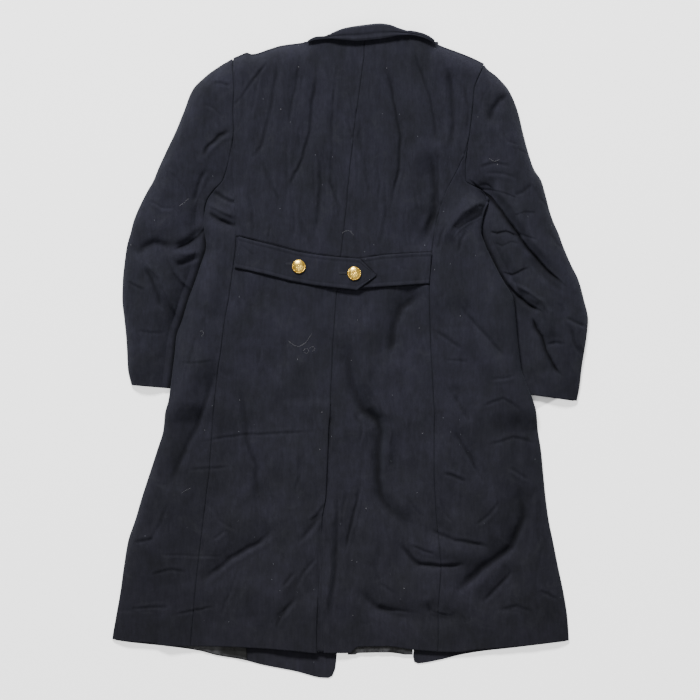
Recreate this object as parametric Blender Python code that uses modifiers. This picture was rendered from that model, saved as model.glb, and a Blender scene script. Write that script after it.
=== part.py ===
"""Navy wool overcoat with a half belt and a long back vent, laid flat face down with its back up.

+X is the viewer's right when looking down at the back, +Y runs from the hem to the collar and +Z is up.
The origin is the middle of the coat's footprint, on the surface that it lies on. Tables are in
millimetres. Left and right are the viewer's.
"""

import bmesh
import bpy
import numpy as np

MM = 0.001

# Driving sizes
CLOTH = 2.2          # thickness of the milled wool
LINING = 1.0         # thickness of the satin lining
SEAM_GAP = 0.3       # between two pieces that are sewn edge to edge
LAY_GAP = 0.4        # between a piece and the piece that it lies on
ROW_STEP = 26.0      # length of a row of the wall's grid
SIDE_ROLL = 50.0     # width of the soft roll along the side folds
OUTER_ROLL = 42.0    # width of the roll along the shoulders and the sleeves' outer folds
STEEPEST = 1.8       # a sloping wall is at most this many times as thick, measured upright
SLOPING = 1.1        # and a gently sloping one this many times

COLLAR_CROWN = 2.5   # how far the collar's fall stands off the stand
COLLAR_DROOP = 9.0   # how far its fold turns down
COLLAR_NARROW = 6.0  # where the fall is no wider than this it neither crowns nor droops
COLLAR_FULL = 20.0   # where it is wider than this it does both in full
COLLAR_FOLDS_AT = 0.84   # share of its width at which the fall starts to turn down
COLLAR_SPAN = (-80.0, 161.0)
COLLAR_END_LIFT = 3.5   # how far its ends stand off the rolled shoulders
COLLAR_END_FROM = 85.0  # that lift starts this far from the middle of the neck
COLLAR_END_WIDTH = 25.0
STAND_SPAN = (-22.0, 80.0)
STAND_SHARE = 0.55   # how far the stand runs up inside the fall
BELT_GAP = 0.7       # the half belt stands this far off the back between its sewn ends
BELT_ENDS = (-205.0, 145.0)
BELT_END_WIDTH = 40.0
BELT_LAP_FROM = -55.0   # the left belt rises onto the right one from here
BELT_LAP_WIDTH = 36.0
BUTTON_RADIUS = 13.1
BUTTON_HEIGHT = 6.2
BUTTON_STEPS = 32

VENT_TOP = -101.0    # where the centre-back seam ends and the vent begins
VENT_LIFT = 3.6      # how far the lapping side of the vent stands above the underlay
VENT_RISE = 50.0     # width over which it rises, beside the underlay
VENT_START = 14.0    # it rises from this far above the vent's top
VENT_START_RUN = 20.0
UNDERLAY_WIDTH = 50.0
UNDERLAY_MARGIN = 5.0   # flat width that the lapping side keeps beside the underlay

SLEEVE_FLAT = 5.0    # clear height inside the part of a sleeve that lies under the body
SLEEVE_PRESSED = 17.0   # the sleeve stays that flat this far outside the body's side fold
SLEEVE_RISE = 55.0   # from there it rises to its full height over this width
HIDDEN_ROLLS = (25.0, 20.0)   # widths of the rolls along the flat part's inner and outer folds
CREASE_FADE = (30.0, 25.0)    # creases fade over these widths at the outer fold and beside the body
ARMHOLE_BLEND = 60.0   # back and sleeve take the seam's height over this width beside it
FRONT_RISE = 13.0    # how far a front is lifted where it lies on the sleeve
RISE_BEFORE = 30.0   # the lift starts this far inside the sleeve's hidden fold
RISE_WIDTH = 55.0
RISE_SPAN = {"left": (-140.0, 306.0), "right": (-155.0, 285.0)}   # heights between which it is lifted
RISE_FADE = 45.0
FLATTEST = {"body": 0.25, "sleeve": 0.35}   # troughs leave at least this share of the clear height

# Sections across the coat, a row a height: where each lengthwise line crosses it.
# out_ are the sleeves' outer folds, in_ their inner folds, side_ the body's side folds and, above the
# armpits, the armhole seams, seam_ the side-back seams and centre the centre-back seam and vent edge.
SECTION_COLUMNS = ("height", "out_left", "in_left", "side_left", "seam_left", "centre",
                   "seam_right", "side_right", "in_right", "out_right")
SECTIONS = (
    (-575, None, None, -454, -304, -63, 167, 417, None, None),
    (-548, None, None, -452, -302, -64, 168, 416, None, None),
    (-505, None, None, -445, -298, -63, 168, 413, None, None),
    (-460, None, None, -437, -294, -60, 170, 406, None, None),
    (-410, None, None, -430, -289, -56, 173, 395.5, None, None),
    (-362, None, None, -422, -283, -54, 169, 386, None, None),
    (-320, None, None, -408, -278, -53, 165, 377.5, None, None),
    (-276, None, None, -395, -273, -46, 162, 371.5, None, None),
    (-230, None, None, -380, -267, -44, 160, 367, None, None),
    (-188, None, None, -366.5, -264, -42, 160, 363, None, None),
    (-150, None, None, -355, -261, -41, 160, 357, None, None),
    (-118, None, None, -351.5, -259, -38, 161, 354, None, None),
    (-95, None, -275, -345, -257, -37, 159, 348, 287, 431),
    (-70, -414, -274, -341, -254, -36, 158, 338, 284, 436),
    (-32, -422.5, -268, -336, -250, -34, 156, 325, 273, 440.5),
    (0, -424, -263, -332, -245, -33, 154, 321, 268, 445.5),
    (25, -425.5, -260, -330, -242, -31, 153, 318, 265, 449.5),
    (60, -429, -257, -318, -237, -29, 152, 315, 260, 452.5),
    (100, -433, -254, -306, -230, -26, 151, 310, 254, 444),
    (135, -432, -254, -293, -225, -23, 151, 290, 250, 434.5),
    (165, -429, -258, -283, -221, -19, 153, 274, 247, 420),
    (200, -424, -262, -273, -217, -15, 157, 258, 246, 405),
    (225, -417, -266, -276, -216, -12, 161, 250, 247, 396),
    (245, -412, -273, -278, -217, -10, 165, 252, 251, 387),
    (268, -403, -276.6, -275.4, -218, -7, 171, 257, 257.6, 379),
    (287, -394, -271.2, -270.4, -219, -5, 177, 264, 264.6, 374),
    (306, -384, -258, -258, -220, -4, 184, 248, 248.6, 369),
    (323, -374, -242, -242, -221, -2, 192, 220, 220, 364),
    (345, -365, -234, -234, -223, 0, 204, 219, 219, 350),
    (380, -349, -226, -226, -224, 4, 217, 221, 221, 338),
    (418, -331, -221, -221, None, 8, None, 228, 228, 328),
    (455, -316, -222, -222, None, 13, None, 232, 232, 319),
    (497, -299, -220, -220, None, 19, None, 236, 236, 301),
    (520, -277, -221, -221, None, 22, None, 244, 244, 281),
    (545, -243, -222, -222, None, 25, None, 254, 254, 256),
    (557, -222, -221, -221, None, 27, None, 256, 256, 256),
)

# Edges that run across the coat, a row a knot: (across, height)
BACK_HEM = ((-454, -547), (-431, -551), (-380, -554), (-340, -561), (-258, -561), (-169, -565),
            (-103, -570), (-63, -574), (-2, -574), (16, -562), (71, -561), (125, -568), (200, -572),
            (243, -567), (310, -562), (417, -550))
FRONT_HEM_LEFT = ((-454, -548), (-431, -552), (-340, -562), (-285, -570), (-255, -578), (-203, -587),
                  (-169, -596), (-103, -609), (-51, -621.3), (-36, -621.7), (0, -621.7))
FRONT_HEM_RIGHT = ((100, -594), (126, -594), (171, -587), (207, -578), (247, -571), (310, -564), (417, -551))
SHOULDERS = ((-221, 557), (-209, 562), (-196, 567), (-187, 564), (-152, 574), (-132, 580), (-90, 586),
             (-70, 590), (-38, 593), (14, 597), (66, 600), (92, 602), (113, 602), (135, 598), (154, 589),
             (170, 581), (207, 567), (234, 556), (256, 545))
COLLAR_FOLD = ((-87, 585), (-63, 595), (-48, 596), (-33, 604), (-12, 612), (14, 617), (36, 620),
               (55, 621.7), (75, 619), (94, 612), (116, 606), (133, 603), (148, 597), (159, 590), (168, 581))
COLLAR_EDGE = ((-87, 582), (-70, 588), (-38, 591), (-16, 589), (14, 587), (40, 589), (66, 592), (92, 597),
               (113, 598), (135, 594), (154, 586), (168, 578))

# Front edges and necklines, a row a knot: (height, across)
FRONT_EDGE_LEFT = ((-622, -42), (-617, -33), (-608, -29), (-575, -25), (-300, -12), (0, 5), (250, 20),
                   (400, 30), (455, 30), (500, 3), (545, -42), (583, -88))
FRONT_EDGE_RIGHT = ((-594, 129), (-590, 121), (-585, 119), (-575, 121), (-300, 112), (0, 95), (200, 75),
                    (400, 50), (455, 48), (500, 75), (545, 120), (583, 168))

# How far the vent's underlay shows beside the lapping edge: (height, width)
VENT_REVEAL = ((-575, 14), (-500, 12), (-460, 9), (-412, 3), (-287, 1), (VENT_TOP, SEAM_GAP))

# Clear height between back and fronts, and inside the sleeves: (height along the coat, clear height)
BODY_CROWN = ((-575, 5), (-530, 9), (-450, 14), (-350, 17), (-200, 19), (0, 20), (150, 20), (300, 22),
              (420, 25), (520, 25), (600, 24))
SLEEVE_CROWN = ((-95, 10), (-60, 13), (0, 16), (100, 19), (200, 20), (300, 22), (400, 24), (560, 24))
ARMHOLE_CROWN = ((300, 10), (323, 14), (345, 18), (380, 22), (420, 23), (560, 23))

# Where each cross row of a sleeve starts and ends: (height on the inner fold, height on the outer fold)
SLEEVE_ROWS_LEFT = ((-77, -65), (-28, -20), (48, 50), (128, 120), (195, 170), (235, 215), (268, 250),
                    (306, 285), (342, 340), (378, 385), (418, 432), (454, 476), (498, 515), (535, 546),
                    (552, 555))
SLEEVE_ROWS_RIGHT = ((-76, -95), (-25, -40), (40, 30), (120, 90), (180, 140), (228, 190), (268, 235),
                     (306, 280), (323, 310), (350, 355), (385, 395), (425, 435), (460, 470), (495, 503),
                     (525, 532), (541, 543))
SEAM_APEX = 395       # the side-back seams run into the armholes here
SEAM_END = 1.2        # width that the sides keep at their upper ends
ARMPIT_LEFT = 306
ARMPIT_RIGHT = 323
BELOW_ARMPITS = 225   # under this height the sleeves have their own rows

# The largest folds, a row each: name, half width, depth (minus for a trough, plus for a ridge) and
# the path that it follows.
BODY_FOLDS = (
    ("neck pull", 15, -3, ((-97, 540), (-114, 435), (-112, 405))),
    ("left blade pull", 15, -3, ((-61, 540), (-68, 466), (-76, 405), (-99, 344), (-112, 304))),
    ("left centre pull", 15, -3, ((-30, 483), (-35, 422), (-33, 353), (-38, 317), (-21, 270))),
    ("left blade edge", 16, -2.5, ((-143, 540), (-155, 496), (-160, 431), (-188, 357))),
    ("left waist pull", 15, -3, ((-68, 395), (-59, 344), (-57, 279), (-63, 200))),
    ("right centre pull", 16, -4.5, ((55, 547), (84, 475), (99, 395), (95, 334), (84, 270))),
    ("right blade pull", 15, -3, ((125, 566), (143, 496), (160, 439), (165, 371))),
    ("right blade hollow", 24, -5, ((186, 540), (198, 466), (192, 388))),
    ("right waist hollow", 30, -9, ((149, 388), (154, 334), (167, 274), (144, 226), (124, 170))),
    ("right armpit roll", 15, 8, ((268, 283), (239, 277), (213, 259), (192, 238), (186, 200))),
    ("right armpit roll, under", 13, -6, ((247, 262), (230, 250), (209, 232), (194, 215))),
    ("left armpit crease", 13, -5, ((-270, 263), (-247, 247), (-205, 232))),
    ("left hip hollow", 24, -5, ((-239, -20), (-257, -42), (-285, -131), (-319, -201), (-352, -290))),
    ("left back hollow", 19, -4, ((-205, -30), (-200, -127), (-196, -177), (-179, -220), (-170, -330))),
    ("left skirt drag", 20, -4, ((-130, -320), (-181, -369), (-231, -395), (-300, -450))),
    ("left hem dip", 16, -3, ((-95, -455), (-133, -504), (-145, -560))),
    ("under the belt", 24, -6, ((143, 130), (97, 84), (82, 42), (73, -40))),
    ("vent trough", 16, -6, ((-8, 45), (6, -65), (27, -114), (58, -140), (55, -215), (58, -275), (84, -310),
                             (140, -355))),
    ("vent ridge", 15, 5, ((20, 25), (32, -59), (67, -122), (72, -160), (67, -215), (84, -270))),
    ("right hip drag", 15, -4, ((190, 105), (244, 42), (310, -35))),
    ("right seam drag", 15, -3.5, ((190, -60), (228, -137))),
    ("right skirt drag", 15, -3.5, ((190, -140), (228, -198), (255, -255))),
    ("right skirt cross fold", 15, -3.5, ((130, -335), (200, -359), (285, -377))),
    ("right skirt step", 15, -3.5, ((80, -355), (126, -405), (240, -407))),
    ("right skirt shadow", 26, -8, ((324, -235), (328, -315), (306, -374), (255, -410), (207, -454),
                                    (190, -485))),
    ("right skirt second shadow", 19, -5, ((325, -405), (235, -492))),
    ("right hem step", 15, -4, ((0, -435), (49, -490), (140, -508))),
    ("right hem gather", 15, -4, ((145, -470), (160, -505), (215, -507))),
    ("vent side hollow", 16, -3, ((22, -240), (2, -327), (-12, -400))),
)
SLEEVE_FOLDS = (
    ("left armpit pocket", 15, -7, ((-270, 228), (-304, 202), (-345, 188))),
    ("left inner ridge", 14, 4, ((-285, 180), (-340, 180))),
    ("left inner valley", 14, -5, ((-275, 178), (-340, 155))),
    ("left elbow ridge", 15, 5, ((-405, 190), (-374, 154), (-344, 103), (-320, 45))),
    ("left elbow dent", 17, -7, ((-405, 170), (-393, 196), (-360, 205), (-332, 180))),
    ("left head dent", 14, -3, ((-222, 420), (-266, 390))),
    ("right overhang", 16, 5, ((232, 345), (285, 300), (320, 258), (355, 205), (405, 148))),
    ("right overhang, under", 17, -9, ((235, 305), (262, 285), (300, 235), (338, 180), (385, 125))),
    ("right inner ridge", 14, 7, ((290, 145), (344, 108), (366, 92), (376, 60), (382, 10))),
    ("right inner valley", 14, -5, ((340, 65), (366, 23), (384, -27), (405, -60))),
    ("right head dent", 15, -5, ((301, 490), (272, 458), (268, 420))),
)

# Half belt, as its two long edges from the left end to the right, and its buttons' middles
BELT_LEFT_TOP = ((-211, 217), (-179, 208), (-147, 200), (-98, 187), (-56, 181), (-28, 178), (0, 176),
                 (19, 174), (49, 143.5))
BELT_LEFT_LOW = ((-219, 158), (-189, 152), (-154, 144), (-112, 133), (-70, 125), (-28, 120), (0, 117),
                 (13, 115), (49, 142.5))
BELT_RIGHT_TOP = ((-15, 173), (14, 174), (64, 182), (122, 186), (155, 187))
BELT_RIGHT_LOW = ((-15, 120), (14, 119), (64, 122), (93, 124), (150, 128))
BUTTON_MIDDLES = {"button_left": (-97, 160), "button_right": (8, 147)}

# Collar ends beside the neck opening: the left one's free edge from the shoulder to the front.
# The right one's free edge mirrors it about the middle of the neck.
COLLAR_END_INNER = ((-56, 588), (-10, 574), (22, 545), (36, 505))
MIDDLE = 39.0
NECK_POINT = 455       # height of the front edges' upper ends, where the necklines start

# Where the lining shows at the hem: its side edges, how far up it runs and how far it shows
LINING_FRONT_SPAN = (-318, -196)
LINING_BACK_SPAN = (-4, 116)
LINING_RUN = 70.0
LINING_SHOWS = 12.0
LINING_LOWEST = -577.0   # the back's lining ends here at the lowest
FACING_SHOWS = 2.0   # width of wool that shows below the front's lining
HEM_HEIGHT = -575.0  # heights are known down to here
LINING_DROP = 1.6    # the back's lining hangs this far below the wool

PALETTE = {
    "wool": ((0.0095, 0.0105, 0.0145, 1), 0.95, 0.0),
    "lining": ((0.030, 0.030, 0.034, 1), 0.45, 0.0),
    "brass": ((0.83, 0.58, 0.16, 1), 0.28, 1.0),
}


def smooth(knots, at):
    """A curve through the knots (place, value) that swings past none of them."""
    x, y = np.array(knots, float).T
    at = np.clip(np.asarray(at, float), x[0], x[-1])
    step = np.diff(x)
    slope = np.diff(y) / step
    lean = np.zeros_like(y)
    same = slope[:-1] * slope[1:] > 0
    weight = (2 * step[1:] + step[:-1], step[1:] + 2 * step[:-1])
    safe = np.where(same, slope[:-1], 1), np.where(same, slope[1:], 1)
    lean[1:-1] = np.where(same, (weight[0] + weight[1]) / (weight[0] / safe[0] + weight[1] / safe[1]), 0)
    lean[0], lean[-1] = slope[0], slope[-1]
    i = np.clip(np.searchsorted(x, at) - 1, 0, len(step) - 1)
    t = (at - x[i]) / step[i]
    return (
        y[i] * (1 + 2 * t) * (1 - t) ** 2
        + lean[i] * step[i] * t * (1 - t) ** 2
        + y[i + 1] * t * t * (3 - 2 * t)
        + lean[i + 1] * step[i] * t * t * (t - 1)
    )


def line(name, height):
    """Where a lengthwise line of the sections lies at a height."""
    column = SECTION_COLUMNS.index(name)
    return smooth([(row[0], row[column]) for row in SECTIONS if row[column] is not None], height)


def ease(t):
    """A soft step from 0 to 1."""
    t = np.clip(t, 0, 1)
    return t * t * (3 - 2 * t)


def roll(distance, width):
    """The rise of a cushioned edge: 0 at the edge, 1 from width inward."""
    return 1 - (1 - np.clip(distance / width, 0, 1)) ** 3


def along_path(x, y, path):
    """How far points lie from a path, and how far along it, from 0 to 1."""
    path = np.array(path, float)
    lengths = np.linalg.norm(np.diff(path, axis=0), axis=1)
    start = np.concatenate([[0], np.cumsum(lengths)])
    nearest = np.full(np.shape(x), np.inf)
    share = np.zeros(np.shape(x))
    for k, length in enumerate(lengths):
        (ax, ay), (bx, by) = path[k], path[k + 1]
        t = np.clip(((x - ax) * (bx - ax) + (y - ay) * (by - ay)) / length**2, 0, 1)
        far = np.hypot(x - ax - t * (bx - ax), y - ay - t * (by - ay))
        closer = far < nearest
        share = np.where(closer, (start[k] + t * length) / start[-1], share)
        nearest = np.where(closer, far, nearest)
    return nearest, share


def folds(x, y, table):
    """The height that a table's folds add, each fading out towards its ends."""
    total = np.zeros(np.shape(x))
    for _, half_width, depth, path in table:
        far, share = along_path(x, y, path)
        total += depth * np.exp(-((far / half_width) ** 2)) * ease(share / 0.25) * ease((1 - share) / 0.25)
    return total


def outline(name, low, high, count=40):
    """Points along a lengthwise line between two heights."""
    heights = np.linspace(low, high, count)
    return list(zip(line(name, heights), heights))


def outer_path(side):
    """The free outline of one arm and shoulder, from the cuff to the neck."""
    arm = outline("out_" + side, -95, 545)
    ends = (-221, -90) if side == "left" else (250, 170)
    across = np.linspace(*ends, 16)
    return arm + list(zip(across, smooth(SHOULDERS, across)))


OUTER = {side: outer_path(side) for side in ("left", "right")}
SIDE = {"left": outline("side_left", -575, ARMPIT_LEFT), "right": outline("side_right", -575, 300)}
ARMHOLE = {"left": outline("side_left", ARMPIT_LEFT, 557), "right": outline("side_right", ARMPIT_RIGHT, 545)}
INNER = {"left": outline("in_left", -95, ARMPIT_LEFT), "right": outline("in_right", -95, ARMPIT_RIGHT)}


def to_outer(x, y):
    return np.minimum(along_path(x, y, OUTER["left"])[0], along_path(x, y, OUTER["right"])[0])


def to_side(x, y):
    return np.minimum(along_path(x, y, SIDE["left"])[0], along_path(x, y, SIDE["right"])[0])


def to_armhole(x, y):
    return np.minimum(along_path(x, y, ARMHOLE["left"])[0], along_path(x, y, ARMHOLE["right"])[0])


def armhole_height(x, y):
    """Underside of back and sleeve where they meet at the armhole seam."""
    return CLOTH + LAY_GAP + smooth(ARMHOLE_CROWN, y) * roll(to_outer(x, y), OUTER_ROLL)


def front_height(x, y):
    """Underside of the fronts: on the ground, and lifted where they lie on a sleeve."""
    total = 0 * x
    for side, outward in (("left", -1), ("right", 1)):
        low, high = RISE_SPAN[side]
        over_cuff = ease((high - y) / RISE_FADE) * ease((y - low) / RISE_FADE)
        beyond = outward * (x - line("in_" + side, y)) + RISE_BEFORE
        total = total + FRONT_RISE * ease(beyond / RISE_WIDTH) * over_cuff
    return total


def body_clearance(x, y, with_folds=True):
    """Clear height between the fronts and the back."""
    edge = roll(to_side(x, y), SIDE_ROLL) * roll(to_outer(x, y), OUTER_ROLL)
    clear = smooth(BODY_CROWN, y) * edge
    if not with_folds:
        return clear
    return np.maximum(clear + folds(x, y, BODY_FOLDS) * edge, FLATTEST["body"] * clear)


def back_height(x, y, with_folds=True):
    """Underside of the back."""
    free = front_height(x, y) + SLOPING * CLOTH + LAY_GAP + body_clearance(x, y, with_folds)
    sewn = armhole_height(x, y)
    return sewn + (free - sewn) * ease(to_armhole(x, y) / ARMHOLE_BLEND)


def vent_lift(x, y):
    """How far the lapping side of the vent is lifted over the underlay."""
    beside = line("centre", y) - x
    across = ease((UNDERLAY_WIDTH + UNDERLAY_MARGIN + VENT_RISE - beside) / VENT_RISE)
    return VENT_LIFT * across * ease((VENT_TOP + VENT_START - y) / VENT_START_RUN)


def lapping_back_height(x, y):
    return back_height(x, y) + vent_lift(x, y)


def sleeve_height(side):
    """Underside of a sleeve's upper wall."""
    def height(x, y):
        inner = along_path(x, y, INNER[side])[0]
        outer = along_path(x, y, OUTER[side])[0]
        body = along_path(x, y, SIDE[side])[0]
        inward = x > line("side_left", y) if side == "left" else x < line("side_right", y)
        armpit = ARMPIT_LEFT if side == "left" else ARMPIT_RIGHT
        body = np.where(inward & (y < armpit), 0, body)
        beside_body = body - SLEEVE_PRESSED
        hidden = SLEEVE_FLAT * roll(inner, HIDDEN_ROLLS[0]) * roll(outer, HIDDEN_ROLLS[1])
        crown = smooth(SLEEVE_CROWN, y)
        shown = (crown - SLEEVE_FLAT) * roll(beside_body, SLEEVE_RISE) * roll(outer, OUTER_ROLL)
        clear = hidden + shown
        fade = roll(outer, CREASE_FADE[0]) * roll(beside_body, CREASE_FADE[1])
        creased = clear + folds(x, y, SLEEVE_FOLDS) * fade
        free = CLOTH + LAY_GAP + np.maximum(creased, FLATTEST["sleeve"] * clear)
        sewn = armhole_height(x, y)
        return sewn + (free - sewn) * ease(to_armhole(x, y) / ARMHOLE_BLEND)
    return height


def upright_thickness(height, x, y, thickness):
    """Thickness measured upright of a wall that follows a sloping height."""
    step = 0.5
    slope = np.hypot(
        (height(x + step, y) - height(x - step, y)) / (2 * step),
        (height(x, y + step) - height(x, y - step)) / (2 * step),
    )
    return thickness * np.minimum(np.sqrt(1 + slope**2), STEEPEST)


def stations(length, step, fine=(0, 6, 16, 30)):
    """Places from 0 to 1 along a length: close together at both ends, a step apart between."""
    count = int(round((length - 2 * fine[-1]) / step))
    middle = np.linspace(fine[-1], length - fine[-1], count + 1)
    return np.concatenate([fine[:-1], middle, length - np.array(fine[:-1])[::-1]]) / length


ROWS = stations(1120, ROW_STEP)


def body_row(share, x):
    """Height of a cross row of the body at a place across: 0 is the hem and 1 the shoulders."""
    hem = smooth(BACK_HEM, x)
    return hem + share * (smooth(SHOULDERS, x) - hem)


def on_row(share, edge, row=body_row):
    """Where a lengthwise edge, given as a function of height, crosses a cross row."""
    height = row(share, 0 * share)
    for _ in range(12):
        x = edge(height)
        height = row(share, x)
    return x, height


def row_at(height, edge):
    """The index of the cross row that meets an edge nearest to a height."""
    return int(np.argmin(abs(on_row(ROWS, edge)[1] - height)))


def make_material(name):
    colour, roughness, metallic = PALETTE[name]
    material = bpy.data.materials.new(name)
    material.use_nodes = True
    shader = material.node_tree.nodes["Principled BSDF"]
    shader.inputs["Base Color"].default_value = colour
    shader.inputs["Roughness"].default_value = roughness
    shader.inputs["Metallic"].default_value = metallic
    return material


def add_object(name, mesh, material):
    thing = bpy.data.objects.new(name, mesh)
    mesh.materials.append(MATERIALS[material])
    COAT.objects.link(thing)
    return thing


def add_wall(name, x, y, height, material="wool", thickness=CLOTH):
    """A wall of cloth over a grid of places: x and y have a row for each cross row."""
    rows, columns = x.shape
    sheet = bmesh.new()
    bmesh.ops.create_grid(sheet, x_segments=columns - 1, y_segments=rows - 1, size=1)
    column = [round((v.co.x + 1) / 2 * (columns - 1)) for v in sheet.verts]
    row = [round((v.co.y + 1) / 2 * (rows - 1)) for v in sheet.verts]
    px, py = x[row, column], y[row, column]
    low = height(px, py)
    high = low + upright_thickness(height, px, py, thickness)
    under = list(sheet.verts)
    top = {v.index: h for v, h in zip(under, high)}
    for v, *place in zip(under, px, py, low):
        v.co = place
    raised = bmesh.ops.extrude_face_region(sheet, geom=sheet.faces[:])
    upper = [g for g in raised["geom"] if isinstance(g, bmesh.types.BMVert)]
    at = {(round(v.co.x, 4), round(v.co.y, 4)): top[v.index] for v in under}
    for v in upper:
        v.co.z = at[round(v.co.x, 4), round(v.co.y, 4)]
    bmesh.ops.recalc_face_normals(sheet, faces=sheet.faces[:])
    bmesh.ops.scale(sheet, vec=(MM, MM, MM), verts=sheet.verts[:])
    mesh = bpy.data.meshes.new(name)
    sheet.to_mesh(mesh)
    sheet.free()
    return add_object(name, mesh, material)


def across(left, right, shares):
    """A grid of places between two edges, each an (x, y) pair with a value a row."""
    shares = np.asarray(shares, float)[None, :]
    return [a[:, None] + (b - a)[:, None] * shares for a, b in zip(left, right)]


def add_body_panel(name, left, right, shares, rows, height, row=body_row):
    """A lengthwise panel of the body between two edges."""
    half = SEAM_GAP / 2
    x_left = on_row(rows, lambda h: left(h) + half, row)[0]
    x_right = on_row(rows, lambda h: right(h) - half, row)[0]
    x = x_left[:, None] + (x_right - x_left)[:, None] * np.asarray(shares)[None, :]
    y = row(rows[:, None], x)
    return add_wall(name, x, y, height)


def named_line(name):
    return lambda height: line(name, height)


def beside(edge, distance):
    return lambda height: edge(height) + distance


def add_backs():
    """Backs and sides, from the side folds to the centre-back seam, and the vent's underlay."""
    side_left, side_right = named_line("side_left"), named_line("side_right")
    centre = named_line("centre")

    def seam_left(height):
        return np.maximum(line("seam_left", height), side_left(height) + SEAM_END)

    def seam_right(height):
        return np.minimum(line("seam_right", height), side_right(height) - SEAM_END)

    apex_left = row_at(SEAM_APEX, seam_left)
    apex_right = row_at(SEAM_APEX, seam_right)
    top_left = on_row(ROWS, seam_left)[1][apex_left]
    top_right = on_row(ROWS, seam_right)[1][apex_right]
    rolled = (0, 0.02, 0.06, 0.13, 0.24, 0.4, 0.6, 0.8, 1)
    add_body_panel("side_left", side_left, seam_left, rolled, ROWS[: apex_left + 1], back_height)
    add_body_panel("side_right", seam_right, side_right, 1 - np.array(rolled)[::-1], ROWS[: apex_right + 1],
                   back_height)

    def left_edge(height):
        return np.where(height > top_left + 1, side_left(height), seam_left(height))

    def right_edge(height):
        return np.where(height > top_right + 1, side_right(height), seam_right(height))

    def fold_edge(height):
        return centre(height) + smooth(VENT_REVEAL, height) - SEAM_GAP

    even = np.linspace(0, 1, 11)
    add_body_panel("back_left", left_edge, centre, even, ROWS, lapping_back_height)
    add_body_panel("back_right", fold_edge, right_edge, even, ROWS, back_height)
    vent_rows = ROWS[: row_at(VENT_TOP - 12, centre) + 1]
    add_body_panel("vent_underlay", beside(centre, -UNDERLAY_WIDTH), fold_edge, np.linspace(0, 1, 4),
                   vent_rows, back_height)


def add_fronts():
    """Fronts, from the side folds to the front edges, face down on the ground."""
    def row_of(hem):
        def row(share, x):
            longer = smooth(hem, x) - smooth(BACK_HEM, x)
            return body_row(share, x) + longer * np.maximum(1 - share / 0.1, 0) ** 2
        return row

    lifted = (0, 0.06, 0.13, 0.21, 0.3, 0.4, 0.7, 1)
    add_body_panel("front_left", named_line("side_left"), lambda h: smooth(FRONT_EDGE_LEFT, h), lifted, ROWS,
                   front_height, row_of(FRONT_HEM_LEFT))
    add_body_panel("front_right", lambda h: smooth(FRONT_EDGE_RIGHT, h), named_line("side_right"),
                   1 - np.array(lifted)[::-1], ROWS, front_height, row_of(FRONT_HEM_RIGHT))


def add_sleeve(side, table):
    """A sleeve's upper wall and the wall that it lies on, in cross rows from the cuff to the shoulder."""
    shared = on_row(ROWS, named_line("side_" + side))[1]
    shared = shared[(shared > BELOW_ARMPITS) & (shared < table[-1][0])]
    own = np.linspace(table[0][0], shared[0], 13)[:-1]
    inner_y = np.concatenate([own, shared])
    outer_y = smooth(table, inner_y)
    sign = 1 if side == "left" else -1
    inner = line("in_" + side, inner_y) - sign * SEAM_GAP / 2, inner_y
    outer = line("out_" + side, outer_y), outer_y
    rolled = np.array((0, 0.035, 0.1, 0.19, 0.32, 0.48, 0.64, 0.78, 0.9, 1))
    x, y = across(outer, inner, rolled) if side == "left" else across(inner, outer, 1 - rolled[::-1])
    add_wall(f"sleeve_{side}_top", x, y, sleeve_height(side))
    coarse = [0, 4, 9]
    add_wall(f"sleeve_{side}_under", x[:, coarse], y[:, coarse], lambda px, py: 0 * px)


def back_top(x, y):
    """Upper side of the back."""
    return back_height(x, y) + upright_thickness(back_height, x, y, CLOTH)


def fall_height(x, y):
    """Underside of the collar's fall: on the back at its edge, over the stand, and round its fold."""
    fold, edge = smooth(COLLAR_FOLD, x), smooth(COLLAR_EDGE, x)
    share = np.clip((y - edge) / (fold - edge), 0, 1)
    wide = ease((fold - edge - COLLAR_NARROW) / (COLLAR_FULL - COLLAR_NARROW))
    crown = COLLAR_CROWN * wide * np.sin(np.pi * np.minimum(share, COLLAR_FOLDS_AT))
    droop = COLLAR_DROOP * wide * ease((share - COLLAR_FOLDS_AT) / (1 - COLLAR_FOLDS_AT))
    clear = LAY_GAP + COLLAR_END_LIFT * ease((abs(x - MIDDLE) - COLLAR_END_FROM) / COLLAR_END_WIDTH)
    return back_top(x, y) + clear + crown - droop


def add_collar():
    """The collar's fall, the stand inside it, and its ends beside the neck opening."""
    places = np.linspace(*COLLAR_SPAN, 23)
    edge, fold = smooth(COLLAR_EDGE, places), smooth(COLLAR_FOLD, places)
    shares = np.array((0, 0.25, 0.5, 0.7, COLLAR_FOLDS_AT, 0.93, 1))
    y = edge[None, :] + (fold - edge)[None, :] * shares[:, None]
    add_wall("collar_fall", np.broadcast_to(places, y.shape).copy(), y, fall_height)

    places = np.linspace(*STAND_SPAN, 9)
    seam = smooth(SHOULDERS, places) + SEAM_GAP
    fold = smooth(COLLAR_FOLD, places)
    inside = seam + (fold - seam) * STAND_SHARE
    y = seam[None, :] + (inside - seam)[None, :] * np.linspace(0, 1, 3)[:, None]
    add_wall("collar_stand", np.broadcast_to(places, y.shape).copy(), y, back_height)

    for side, sign, neckline in (("left", 1, FRONT_EDGE_LEFT), ("right", -1, FRONT_EDGE_RIGHT)):
        outer_x, outer_y = on_row(ROWS, lambda h: smooth(neckline, h))
        beside_neck = (outer_y > NECK_POINT + 2) & (outer_y < neckline[-1][0] - 1)
        outer = outer_x[beside_neck] + sign * SEAM_GAP, outer_y[beside_neck]
        inner = edge_points(COLLAR_END_INNER, beside_neck.sum())
        inner = MIDDLE + sign * (inner[0][::-1] - MIDDLE), inner[1][::-1]
        x, y = across(outer, inner, (0, 0.5, 1))
        add_wall(f"collar_end_{side}", x, y, lambda px, py: 0 * px)


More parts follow.
